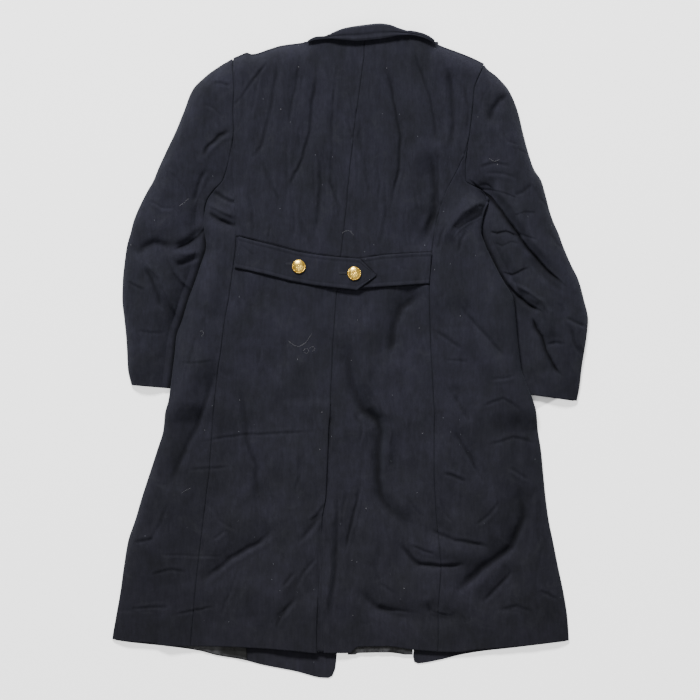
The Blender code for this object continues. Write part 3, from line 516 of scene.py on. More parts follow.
# Edge profiles, a row a point: (distance from the edge, drop below the sheet)
HEM = ((0.8, 0.2), (0.2, 0.7), (0, 1.3), (0.15, 1.8), (0.8, 2.4), (2.2, 2.7), (5, 2.75), (9, 2.8))
SEAM = ((2.4, 0.08), (1.2, 0.45), (0.5, 1.1), (0.12, 1.7), (0, 2.2), (-0.2, 2.5), (-0.45, 2.7), (-0.7, 2.8))
FLUSH = ((2.4, 0), (1.2, 0.05), (0.5, 0.2), (0.12, 0.4), (-0.1, 0.7), (-0.3, 1.2), (-0.5, 2), (-0.7, 2.8))
HEM_START = 2.0
SEAM_START = 4.0
FOLD_START = 5.0
FOLD_RETURN = 3.0    # the cloth runs back this far under a fold
SQUEEZED = 1.6       # edges narrow where a sheet is narrower than this many times both of them
RIM_STEPS = np.array((0, 0.35, 1.0, 2.2))   # places of the first columns beside a slab's rim
RIM_THINNEST = 0.3   # share of its thickness that a slab keeps at its rim
SEWN_FROM = {"left": 272, "right": 262}   # side and sleeve are joined above these heights, and folded below
FLUSH_FROM = 195.0   # the side-back seams lie flush from here up

# Creases, a row each: (half width in mm, depth in mm, side of the ridge beside it, path in pixels).
# A minus depth is a ridge. The ridge lies to the path's left for 1 and to its right for -1.
BACK_CREASES = (
    # pulls down from the shoulders and the neck
    (3.2, 1.5, 1, ((300.6, 56), (296, 85), (290, 120), (291.4, 138))),
    (3.0, 1.5, -1, ((317.7, 56), (315.4, 85), (309.7, 133), (302.9, 158.6), (291.4, 183.7), (289, 204))),
    (3.4, 1.5, -1, ((280, 54), (275, 85), (268.6, 120), (261.7, 147), (248, 165))),
    (2.8, 1.3, 1, ((334.9, 62), (333.7, 101), (331.4, 156), (331.4, 183.7), (337, 204), (339.4, 228))),
    (3.6, 1.6, -1, ((314, 143), (321, 170), (318.9, 206), (316, 238))),
    (2.8, 1.1, 1, ((346, 83), (352, 106), (354.3, 124), (353, 147))),
    (2.8, 1.1, -1, ((346, 119), (352, 138), (355, 150))),
    (2.8, 1.2, -1, ((360, 119), (360, 138), (364.6, 161), (368, 184), (370.5, 208))),
    (3.2, 2.0, 1, ((378, 56), (389.7, 81), (395.4, 108), (400.5, 138), (399, 170), (393.5, 193), (391, 217))),
    (2.8, 1.8, 1, ((412.4, 46), (420, 71), (428.6, 96), (434.5, 120), (436.5, 152))),
    (5.0, 2.2, -1, ((446.9, 62), (451.4, 97), (452.8, 124), (450.3, 157))),
    (3.0, 1.3, 1, ((462.9, 83), (468.6, 108), (467, 140))),
    (5.5, 2.4, -1, ((430, 150), (435.4, 193), (433, 216), (424, 238), (417, 251))),
    (2.6, 1.2, 1, ((437, 140), (438, 176), (438.5, 204), (433, 224), (424, 244))),
    (2.6, 1.2, 1, ((241, 101), (247, 91), (254, 81), (262, 71), (270, 61))),
    (2.4, 1.1, -1, ((327, 178), (335, 193), (339, 210), (340.5, 223))),
    (2.4, 1.0, 1, ((315, 146), (314, 184), (316, 222))),
    (2.4, 0.9, 1, ((347.6, 60), (349.4, 76), (350, 95))),
    (2.6, 1.0, -1, ((292, 201), (294, 220), (294.5, 239))),
    (2.6, 1.0, 1, ((300.6, 219), (304, 230), (306.5, 242))),
    (2.4, 0.9, -1, ((338, 60), (336, 84), (333, 108))),
    (2.4, 0.9, 1, ((403.5, 126), (405, 134), (401, 146))),
    (2.6, 1.0, 1, ((460, 140), (464.5, 160), (466, 180))),
    (2.4, 0.8, 1, ((229, 120), (234, 108), (243, 96))),
    (3.0, 1.2, 1, ((257, 151), (266.3, 174.6), (277.7, 199.7), (280, 216))),
    (2.8, 0.9, 1, ((286.9, 138), (288, 170), (286.9, 207))),
    (2.6, 1.0, -1, ((298.3, 124), (301, 152))),
    (2.8, 1.3, -1, ((247.5, 193), (253, 211), (254.5, 236))),
    (3.0, 1.0, 1, ((412.6, 181), (416, 200), (419.5, 217))),
    (2.8, 0.9, -1, ((375, 150), (380, 180), (378, 214))),
    (2.6, 0.9, 1, ((263, 64), (256, 92), (252, 118))),
    (2.6, 0.9, -1, ((246, 72), (243, 100), (246, 130))),
    (2.6, 0.8, 1, ((322, 150), (326, 182), (324, 222))),
    (2.8, 0.9, -1, ((303, 190), (300, 216), (303, 244))),
    (2.8, 0.9, 1, ((405, 205), (404, 226), (408, 246))),
    (2.6, 0.8, -1, ((272, 222), (268, 240))),
    (2.8, 0.8, 1, ((352, 188), (350, 212), (353, 236))),
    (3.4, 1.1, -1, ((384, 182), (386, 214), (382, 246))),
    # the folds at the armpits
    (3.4, 1.7, 1, ((212, 192), (224, 198.5), (237, 204.5))),
    (3.2, 1.5, 1, ((206, 210), (220, 221), (238, 228))),
    (4.5, -1.8, 0, ((207, 203), (222, 212), (236, 218))),
    (5.5, -1.8, 0, ((490, 200.5), (476, 204), (462, 213), (451, 226), (447, 238))),
    (6.0, -2.2, 0, ((480, 213), (471, 219.4), (460, 228.9), (452, 237.8))),
    (2.4, 1.2, 0, ((476, 200), (481, 209))),
    (3.4, 1.4, 1, ((446, 224), (440, 236), (437, 252))),
    (3.4, 1.2, -1, ((470, 227), (462, 240), (458, 256))),
    # the left half of the skirt
    (6.0, 2.2, 1, ((224, 369), (215, 376), (200, 420), (182, 457), (166, 493))),
    (5.0, 2.0, -1, ((242, 382), (245, 418), (247, 444), (256, 467), (257, 500), (260.7, 518))),
    (2.8, 0.9, 1, ((193, 443), (238, 435.5), (280, 433), (320, 432))),
    (2.6, 0.8, 1, ((179, 364), (198, 362.5), (216, 362))),
    (2.8, 0.9, 1, ((186, 470), (210, 469), (233, 467))),
    (2.6, 0.8, -1, ((158, 554), (190, 555.5), (226, 556))),
    (2.8, 1.0, 1, ((129, 609), (150, 607), (171, 607))),
    (2.8, 1.0, 1, ((172, 616), (195, 610), (217, 607))),
    (5.0, 2.4, 1, ((276, 527), (255, 545), (229, 559), (201, 583))),
    (3.2, 1.3, 1, ((133, 543), (144, 541), (154, 537))),
    (3.0, 1.1, 1, ((226, 529), (213, 540))),
    (4.4, 1.8, 1, ((297, 597), (280, 616), (274, 631))),
    (3.4, 1.3, 1, ((295, 572), (283, 588))),
    (5.0, 1.8, 1, ((323, 511), (311, 528), (297, 544))),
    (3.0, 1.0, -1, ((298, 456), (299.5, 475), (295, 492))),
    (3.0, 1.2, -1, ((326, 502), (318, 515), (309, 523))),
    (3.2, 1.1, 1, ((318, 556), (304, 572), (296, 590))),
    (3.0, 1.0, 1, ((262, 470), (272, 500), (270, 524))),
    (3.2, 1.0, -1, ((170, 500), (160, 524), (146, 548))),
    (3.0, 0.9, 1, ((240, 560), (232, 590), (218, 620))),
    (3.0, 0.9, -1, ((208, 500), (220, 520), (240, 533))),
    (3.0, 1.0, 1, ((150, 575), (168, 570), (188, 572))),
    (2.8, 0.8, 1, ((254, 322), (262, 345), (258, 372))),
    (3.0, 0.8, -1, ((282, 330), (286, 362), (279, 396))),
    (2.8, 0.7, 1, ((304, 372), (309, 400), (306, 428))),
    (2.8, 0.8, -1, ((198, 330), (192, 356), (184, 386))),
    # the vent's sides
    (2.4, 1.6, 0, ((331, 404), (329.8, 443), (328.6, 470), (327.2, 504))),
    (2.4, 1.2, 0, ((319.5, 592), (320, 620), (320, 654))),
    (4.6, -2.0, 0, ((331, 496), (330.5, 540), (329.5, 568), (327, 592), (326, 606), (328, 620), (331, 650))),
    (3.4, 1.9, -1, ((338, 488), (337, 520), (336.5, 545), (335, 572), (332, 596), (333, 618))),
    (3.4, 1.2, 1, ((321, 520), (320, 545), (318.5, 575), (318, 600))),
    (3.0, 1.2, -1, ((346, 489), (342, 512), (341, 532))),
    (3.0, 2.0, 1, ((360, 483), (356, 505), (350, 528), (344.5, 557))),
    # the hollow right of the centre, its drags and the right half of the skirt
    (8.5, 3.2, 1, ((345, 338), (353, 385), (358, 400), (364, 411), (378, 421), (381.7, 433), (379, 450),
                   (378, 466), (379.5, 492), (384, 503), (395, 515), (415, 531))),
    (5.0, -1.8, 0, ((364, 352), (368, 382), (386, 413), (390, 428), (388, 446), (387, 465), (393, 484))),
    (8.0, 3.4, 1, ((425, 292), (412, 301), (401, 309), (394, 329), (388.6, 362))),
    (3.6, 1.4, 1, ((352, 410), (362, 424), (360, 446))),
    (3.4, 1.5, 1, ((457, 303), (478.6, 329), (507, 360))),
    (3.6, 1.4, 1, ((433, 329), (449, 341), (464, 351))),
    (2.8, 0.9, 1, ((443, 360), (456, 360.5), (469, 362.5))),
    (3.0, 1.1, -1, ((489, 379), (502, 379), (517, 375))),
    (3.8, 1.5, -1, ((452, 392), (461, 408), (471, 424))),
    (3.6, 1.5, -1, ((453, 430), (470, 455), (479, 477))),
    (3.0, 1.2, -1, ((463, 444), (472, 463), (484, 485))),
    (3.4, 1.4, 1, ((442, 472), (454, 477), (468, 481))),
    (3.2, 1.3, -1, ((440, 499), (445, 511), (453, 524))),
    (3.4, 1.4, 1, ((427, 529), (455, 540), (491, 547.5))),
    (4.0, 1.8, 1, ((396, 541), (410.6, 558), (418, 564.5), (440, 566), (469, 565))),
    (3.0, 1.1, 1, ((409, 545), (422, 550), (437, 554.5))),
    (8.0, 3.4, 1, ((520.6, 486), (523, 517), (512, 547), (484, 567), (459, 590), (452, 602))),
    (4.0, 1.6, 1, ((514, 570), (498, 588), (480, 605))),
    (3.4, 1.6, 1, ((427, 603), (432, 614), (442, 616.5), (454, 617.5))),
    (3.0, 1.2, 1, ((461, 613), (465, 624), (469, 636))),
    (3.0, 1.1, -1, ((440, 620), (438, 634), (440, 646))),
    (6.0, 1.7, 1, ((358, 589), (376, 608), (396, 614), (415, 617.5))),
    (3.4, 1.3, -1, ((508, 466), (518, 473), (529, 481))),
    (3.2, 1.2, 1, ((537, 589), (547, 594), (558, 601))),
    (3.0, 1.1, 1, ((480, 406.5), (502, 399), (513, 405), (524, 415))),
    (3.0, 1.1, 1, ((486, 446), (513, 438), (526, 440), (537, 445))),
    (3.2, 1.2, 1, ((500, 500), (489, 515), (474, 527))),
    (3.2, 1.1, -1, ((534, 520), (541, 548), (538, 575))),
    (3.2, 1.0, 1, ((498, 610), (516, 606), (534, 612))),
    (3.0, 1.0, 1, ((400, 470), (408, 500), (424, 520))),
    (3.2, 1.0, -1, ((404, 380), (412, 410), (408, 440))),
    (3.0, 0.9, 1, ((372, 560), (380, 584), (398, 596))),
    (3.0, 0.9, -1, ((512, 312), (520, 340), (530, 366))),
)
SLEEVE_CREASES = (
    (4.5, 2.4, 1, ((232, 130), (219, 137), (208, 148), (202, 160))),
    (3.2, 1.2, 1, ((213, 83), (222, 84), (231, 88))),
    (3.0, 1.0, -1, ((205, 105), (214, 110), (222, 119))),
    (4.0, 1.8, 1, ((208, 168), (198, 186), (194, 206))),
    (6.0, 2.4, -1, ((205, 226), (192, 240), (174, 250))),
    (5.0, -2.2, 0, ((175, 252), (188, 254), (201, 252))),
    (5.0, 1.8, -1, ((175, 266), (188, 261), (201, 256))),
    (3.4, -2.2, 0, ((165.5, 251), (174, 268), (182, 281), (192, 291))),
    (4.2, -2.6, 0, ((140, 258.5), (153, 270), (162, 281), (169, 297), (175, 311), (180, 321))),
    (4.5, 2.2, 1, ((143, 266), (152, 280), (158, 296), (162, 312))),
    (5.5, 2.2, 1, ((140, 258), (144, 248), (154, 243), (165.5, 246), (171, 253))),
    (3.0, 1.3, 1, ((126.5, 281), (133, 285), (145, 290.5))),
    (3.0, 0.9, 1, ((165, 170), (176, 178), (184, 190))),
    (3.0, 0.9, -1, ((150, 200), (162, 208), (176, 210))),
    (3.2, 1.0, 1, ((190, 300), (186, 326), (180, 350))),
    (3.0, 0.8, 1, ((136, 330), (150, 334), (166, 332))),
    # the right arm's overhanging fold, with the dark strip and the gap below it
    (6.5, -2.8, 0, ((472, 176), (488, 184), (500, 195), (512, 208), (523, 226), (534, 243), (548, 260),
                    (562, 273))),
    (4.2, -2.6, 0, ((505, 279), (518.5, 287), (531, 294), (542, 301), (548, 312), (550, 328.5), (552, 338))),
    (7.0, 2.0, 0, ((526, 254), (538, 270), (552, 284), (566, 294))),
    (5.5, -2.0, 0, ((499, 270), (512, 286), (526, 297), (540, 303), (546, 318), (548, 332))),
    (5.5, 2.0, -1, ((510, 93), (499.4, 101.4), (492.6, 110.6), (489, 125))),
    (3.0, 1.2, 1, ((478, 168), (494, 164), (512, 167))),
    (3.0, 1.1, -1, ((482, 174), (500, 174), (518, 178))),
    (3.0, 1.0, 1, ((516, 150), (526, 154), (538, 164))),
    (3.0, 1.1, 1, ((536, 196), (546, 206), (552, 220))),
    (3.4, 1.6, -1, ((565, 317), (574, 322), (586, 327))),
    (4.4, 2.2, 1, ((570, 325), (574, 340), (581, 357))),
    (3.2, 1.2, 1, ((556, 300), (562, 312), (564, 326))),
    (3.0, 1.2, 1, ((545, 345), (556, 343), (566, 345))),
    (3.0, 0.9, 1, ((492, 84), (484, 96), (480, 110))),
    (3.0, 1.0, -1, ((500, 132), (508, 142), (520, 146))),
    (3.0, 1.0, 1, ((548, 232), (556, 244), (566, 252))),
)
BELT_CREASES = (
    (2.6, 0.7, 1, ((241, 245), (247, 250.5), (254.5, 256.5))),
    (2.8, 0.4, 1, ((262, 251), (272, 259), (279, 266))),
    (3.0, 0.4, -1, ((318, 262), (324, 270), (326, 278))),
    (2.8, 0.4, 1, ((392, 262), (400, 268), (412, 271))),
)
CREASE_REACH = 3.4   # a crease ends this many half widths from its path
RIDGE_AT = 1.9       # the ridge beside it: place and width in half widths, and height as a share
RIDGE_WIDTH = 1.3
RIDGE_SHARE = 0.5
DEEPER = (0.6, 0.45)   # creases are this many times as deep as their row says, and more a mm of depth
DEEPEST = (1.8, 1.15, 5.0)   # at most this, and for creases of more than the last figure's half width, this

# Overhanging folds, a row each: (drop in mm, run of the climb in mm, side that stays high: 1 for the
# path's left, path in pixels)
SLEEVE_OVERHANGS = (
    (7.0, 5, 1, ((466, 178), (472.5, 182.5), (490, 197.5), (502.5, 212.5), (515, 230), (526, 245),
                 (540, 262.5), (555, 277.5), (570, 290))),
    (7.0, 4, 1, ((488, 250), (498, 270), (507.5, 285), (522.5, 300), (534, 308), (544, 314))),
    (7.0, 5, 1, ((531, 317), (536, 326), (542.5, 336), (546, 350), (553, 364), (563, 378))),
    (3.5, 3.5, 1, ((489, 231), (497, 233.5), (506, 231.5), (518, 236))),
    (1.6, 4, 1, ((495, 243), (503, 246), (512, 242), (520, 244))),
    (2.6, 4, 1, ((502, 272), (512, 275), (520, 271), (530, 267))),
    (1.6, 4, 1, ((476, 189), (492, 190), (508, 195), (520, 200))),
    (2.6, 5, -1, ((514, 196), (523, 193), (533, 186))),
    (1.4, 4, 1, ((514, 216), (524, 213), (536, 214))),
    (1.6, 4, 1, ((516, 233), (528, 237), (538, 240))),
    (2.4, 7, -1, ((207, 226), (198, 237), (188, 244), (172, 251))),
    (1.6, 7, 1, ((138, 257), (146, 264), (155, 272), (163, 284))),
)
BACK_OVERHANGS = (
    (1.5, 4, 1, ((486, 213), (477, 218), (467, 223), (458, 230), (451, 240))),
    (1.5, 6, 1, ((206, 212), (218, 220), (234, 227))),
)
OVERHANG_STEEP = 3.0   # width of an overhang's steep side

# Fine waviness of the cloth, a row a scale: (wave across, wave along, height, seed)
BACK_WAVES = ((40, 90, 1.3, 3), (18, 64, 0.95, 5), (8, 34, 0.4, 7))
SKIRT_WAVES = ((64, 84, 3.9, 11), (30, 44, 2.0, 13), (12, 18, 0.5, 17))
SLEEVE_WAVES = ((40, 52, 1.8, 19), (18, 24, 0.95, 23), (9, 11, 0.3, 29))
COLLAR_WAVES = ((38, 24, 0.5, 41), (15, 12, 0.25, 43))
BELT_WAVES = ((44, 30, 0.6, 51), (14, 14, 0.2, 53))
FRONT_LINING_WAVES = ((22, 40, 1.6, 61), (9, 14, 0.6, 63))
BACK_LINING_WAVES = ((14, 30, 1.4, 71), (6, 12, 0.5, 73))
LINING_PAINTED_SHADES = ((18, 8, 1, 75),)   # where painted shade darkens the back's lining between its creases

MORE_FOLD = 0.4      # the largest folds, but for the armpits', are this much deeper than in the solids
UPPER_MORE = 0.4     # the creases above the belt are this much deeper
UPPER_FROM = (150.0, 60.0)   # from this height up, over this run
LOWER_MORE = 0.3     # and those of the skirt
LOWER_FROM = (-60.0, 80.0)   # from this height down, over this run
WAVES_CHANGE = (60.0, 120.0)   # the skirt's waves give way to the back's from this height up, over this run
OUTLINE_CALM = {"body": 16.0, "sleeve": 14.0}   # creases fade over these widths beside the outline
HEM_CALM = 1.0       # no crease is deeper than this over the back's lining
HEM_CALM_TO = -500.0
VENT_CLOSED = (-485.0, -310.0)   # the vent's edge lies close to the underlay between these heights
VENT_CLOSER = 0.75   # by this share of its lift
POCKET = 3.5         # depth of the hollow in a sleeve beside the body
POCKET_WIDTH = 5.5
POCKET_SPAN = {"left": (-120, 235), "right": (55, 240)}   # heights between which it runs
# How far creases wander from clean lines, across and along, as the waves above
WANDER_ACROSS = ((23, 23, 1.5, 81), (9, 9, 0.5, 82))
WANDER_ALONG = ((23, 23, 1.5, 83), (9, 9, 0.5, 84))
BELT_HOLLOW = 1.4    # depth to which the belt presses the back
BELT_HOLLOW_REACH = 32.5
BELT_MIDDLE = ((-215, 187.5), (-184, 180), (-150, 172), (-105, 160), (-63, 153), (-28, 149), (0, 146.5),
               (14, 146), (64, 152), (108, 155), (152.5, 157.5))
# Where the vent gapes, with painted shadow in the gap, a row each: (half width in mm, path in pixels)
VENT_GAPES = ((2.0, ((330.6, 400), (329.4, 430), (328.2, 460), (327, 485), (326, 506))),
              (2.0, ((318, 588), (318.4, 612), (318.8, 636), (319.2, 655))))
COLLAR_HOLLOW = 1.6  # depth to which the collar presses the back
COLLAR_SHADE = (9.0, 7.0)    # from this far below the collar's edge, over this run
SEAM_CLOSES = 355.0  # from here up the right side-back seam closes on the armhole
CREASE_SHADE_FROM = 0.8    # creases deeper than this get painted shade
CREASE_SHADE_FULL = 5.0    # and in full where they are this much deeper still
# strength of the painted shade along the half belt's outline
BELT_EDGE_SHADE = 0.8

# Hairs, a row each: pixels of the photograph along it. Then the middles of the specks of lint.
HAIRS = (
    ((288.4, 340.5), (292, 344), (298.7, 346.3), (306, 342), (311.7, 333.7)),
    ((303, 351), (306, 348.5), (309, 350.5), (306.5, 353.5), (304, 352)),
    ((309.5, 348), (313, 346.5), (315, 349), (312.5, 351.5)),
    ((342, 234), (345, 231.5), (349, 231), (353.7, 235.7)),
    ((180, 206), (184, 203.5), (189, 198.5)),
    ((200.5, 332), (202.5, 330.5), (204, 333.5), (202, 336.5)),
    ((182, 493), (186, 490), (191, 488)),
    ((489, 159), (494, 162), (499, 160)),
)
SPECKS = ((351.4, 360.3), (422.3, 433), (297.7, 359.3), (419, 328), (298.7, 67.7), (258, 252), (353, 615),
          (386.5, 69), (281, 110), (205, 430), (320, 449), (460, 316), (352, 560), (240, 400), (404, 588),
          (131, 245), (497, 165), (366, 508), (280, 590), (322, 412))
HAIR = 0.13          # radius of a hair
HAIR_SIDES = 5
HAIR_POINTS = 24
GLOW_MARGIN = 14.0   # the floor's glow stops this far inside the coat's outline


def seam_left(height):
    return np.maximum(line("seam_left", height), line("side_left", height) + SEAM_END)


def seam_right(height):
    end = line("side_right", height) - SEAM_END
    closing = ease((height - SEAM_CLOSES) / (SEAM_APEX - SEAM_CLOSES))
    return np.minimum(line("seam_right", height) * (1 - closing) + end * closing, end)


def below(level, y, run=24):
    """1 well below a level and 0 above it."""
    return ease((level - y) / run)


def photo(points):
    """Places of a crease, from the photograph's pixels."""
    return np.array([((u - PHOTO_MIDDLE[0]) * PIXEL, (PHOTO_MIDDLE[1] - v) * PIXEL) for u, v in points])


def beside_path(x, y, path, reach):
    """Which places lie in the box that a path reaches, and of those, how far from the path they lie, how
    far along it, from 0 to 1, and whether they are on its left."""
    near = (x > path[:, 0].min() - reach) & (x < path[:, 0].max() + reach)
    near &= (y > path[:, 1].min() - reach) & (y < path[:, 1].max() + reach)
    px, py = x[near], y[near]
    far, share = along_path(px, py, path)
    step = np.diff(path, axis=0)
    k = np.argmin([segment_distance(px, py, a, b) for a, b in zip(path, path[1:])], axis=0)
    left = step[k, 0] * (py - path[k, 1]) - step[k, 1] * (px - path[k, 0]) > 0
    return near, far, share, left


def creases(x, y, table):
    """The height that a table's creases add, which is mostly less than 0."""
    total = np.zeros(np.shape(x))
    for half_width, depth, ridge, points in table:
        near, far, share, left = beside_path(x, y, photo(points), CREASE_REACH * half_width)
        s = far * np.where(left, 1, -1) / half_width
        beside = abs(ridge) * RIDGE_SHARE * np.exp(-(((s - RIDGE_AT * ridge) / RIDGE_WIDTH) ** 2))
        most = DEEPEST[0] if half_width < DEEPEST[2] else DEEPEST[1]
        deeper = min(DEEPER[0] + DEEPER[1] * abs(depth), most)
        total[near] -= deeper * depth * (np.exp(-(s**2)) - beside) * fading(share, 0.25, 0.25)
    return total


def overhangs(x, y, table):
    """The height that overhanging folds add: a steep drop beside a path, and a slow climb beyond."""
    total = np.zeros(np.shape(x))
    for drop, run, high_side, points in table:
        near, far, share, left = beside_path(x, y, photo(points), 3 * run)
        steep, slow = 1 - ease(far / OVERHANG_STEEP), np.exp(-((far / run) ** 1.4))
        total[near] -= drop * np.where(left == (high_side > 0), steep, slow) * fading(share, 0.15, 0.2)
    return total


def segment_distance(x, y, a, b):
    """How far points lie from a straight piece of a path."""
    dx, dy = b - a
    t = np.clip(((x - a[0]) * dx + (y - a[1]) * dy) / (dx * dx + dy * dy), 0, 1)
    return np.hypot(x - a[0] - t * dx, y - a[1] - t * dy)


def waves(x, y, table):
    """Soft waviness from smoothed lattices of seeded heights."""
    total = np.zeros(np.shape(x))
    for wave_x, wave_y, height, seed in table:
        lattice = np.random.default_rng(seed).uniform(-1, 1, (128, 128))
        u, v = x / wave_x + 500.5, y / wave_y + 500.5
        i, j = np.floor(u).astype(int), np.floor(v).astype(int)
        a, b = ease(u - i), ease(v - j)
        low = lattice[i % 128, j % 128] * (1 - a) + lattice[(i + 1) % 128, j % 128] * a
        high = lattice[i % 128, (j + 1) % 128] * (1 - a) + lattice[(i + 1) % 128, (j + 1) % 128] * a
        total += height * (low * (1 - b) + high * b)
    return total


def under_belt(x, y):
    """1 under the half belt, where the back is pressed flat, and 0 beside it."""
    far = along_path(x, y, BELT_MIDDLE)[0]
    within = ease((x - seam_left(y)) / 3) * ease((seam_right(y) - x) / 3)
    return ease((BELT_HOLLOW_REACH - far) / 3.5) * within


def belt_edge_shade(x, y):
    """Painted shade: 1 at the half belt's outline, where it presses into the back."""
    pressed = under_belt(x, y)
    return 4 * pressed * (1 - pressed)


def vent_shadow(x, y):
    """Painted shadow: 1 in the parts of the vent that gape."""
    total = np.zeros(np.shape(x))
    for half_width, points in VENT_GAPES:
        far, share = along_path(x, y, photo(points))
        total = np.maximum(total, np.exp(-((far / half_width) ** 2)) * fading(share, 0.3, 0.1))
    return total


def under_collar(x, y):
    """1 just below the collar's edge and under it, and 0 further down."""
    inside = ease((x - COLLAR_SPAN[0]) / 40) * ease((COLLAR_SPAN[1] - x) / 40)
    return ease((y - smooth(COLLAR_EDGE, x) + COLLAR_SHADE[0]) / COLLAR_SHADE[1]) * inside


def wander(x, y):
    """Places shifted a little, so that creases don't run along clean lines."""
    return x + waves(x, y, WANDER_ACROSS), y + waves(x, y, WANDER_ALONG)


def back_relief(x, y):
    """What creases and overhangs add to the back and sides."""
    at = wander(x, y)
    upper = UPPER_MORE * ease((y - UPPER_FROM[0]) / UPPER_FROM[1])
    lower = LOWER_MORE * ease((LOWER_FROM[0] - y) / LOWER_FROM[1])
    return (1 + upper + lower) * creases(*at, BACK_CREASES) + overhangs(*at, BACK_OVERHANGS)


def back_surface(x, y, relief=None):
    """The cloth's upper side on the back and sides, with its creases."""
    relief = back_relief(x, y) if relief is None else relief
    upper = ease((y - WAVES_CHANGE[0]) / WAVES_CHANGE[1])
    fine = relief + upper * waves(x, y, BACK_WAVES) + (1 - upper) * waves(x, y, SKIRT_WAVES)
    fine = fine + MORE_FOLD * folds(x, y, [row for row in BODY_FOLDS if "armpit" not in row[0]])
    fine = np.maximum(fine, -HEM_CALM - 14 * ease((y - HEM_CALM_TO) / 30))
    pressed = under_belt(x, y)
    width = OUTLINE_CALM["body"]
    calm = roll(to_side(x, y), width) * roll(to_outer(x, y), width) * (1 - pressed)
    free = back_top(x, y) + fine * calm - BELT_HOLLOW * pressed - COLLAR_HOLLOW * under_collar(x, y)
    return np.maximum(free, front_height(x, y) + 2 * CLOTH + LAY_GAP)


def lapping_surface(x, y, relief=None):
    """The back's upper side with its lapping side lifted over the vent's underlay."""
    closed = ease((y - VENT_CLOSED[0]) / 30) * ease((VENT_CLOSED[1] - y) / 30)
    return back_surface(x, y, relief) + vent_lift(x, y) * (1 - VENT_CLOSER * closed)


def sleeve_relief(x, y):
    """What creases and overhangs add to the sleeves."""
    at = wander(x, y)
    return creases(*at, SLEEVE_CREASES) + overhangs(*at, SLEEVE_OVERHANGS)


def beside_body(side, x, y):
    """1 in a sleeve right beside the body's fold, and 0 further out."""
    low, high = POCKET_SPAN[side]
    beside = along_path(x, y, SIDE[side])[0]
    return np.exp(-((beside / POCKET_WIDTH) ** 2)) * ease((high - y) / 25) * ease((y - low) / 60)


def sleeve_surface(side):
    """The cloth's upper side on a sleeve, with its creases."""
    base = sleeve_height(side)

    def surface(x, y, relief=None):
        relief = sleeve_relief(x, y) if relief is None else relief
        calm = roll(along_path(x, y, OUTER[side])[0], OUTLINE_CALM["sleeve"])
        fine = waves(x, y, SLEEVE_WAVES) + relief
        free = base(x, y) + upright_thickness(base, x, y, CLOTH) + fine * calm
        return np.maximum(free - POCKET * beside_body(side, x, y), 2 * CLOTH + LAY_GAP)
    return surface


def painted_crease_shade(relief):
    """Painted shade in a crease, from 0 to 1, by how deep the cloth lies in it."""
    return np.clip((-relief - CREASE_SHADE_FROM) / CREASE_SHADE_FULL, 0, 1)


# ---------------------------------------------------------------- sheets
PROFILES = {"hem": HEM, "seam": SEAM, "flush": FLUSH}
EDGE_STARTS = {"hem": HEM_START, "seam": SEAM_START, "flush": SEAM_START, "fold": FOLD_START}


class Edge:
    """How a sheet ends: in a style, or in a mix of two where share says how far each row takes the second.
    under is the height that a fold rolls down to, and squeeze narrows the edge where the sheet is narrow."""

    def __init__(self, style, count, other=None, share=None, under=None):
        self.style, self.other, self.under = style, other, under
        self.share = np.zeros(count) if share is None else share
        self.squeeze = np.ones(count)

    def start(self):
        """Distance from the edge to the sheet's first column."""
        first, second = EDGE_STARTS[self.style], EDGE_STARTS[self.other or self.style]
        return (first * (1 - self.share) + second * self.share) * self.squeeze


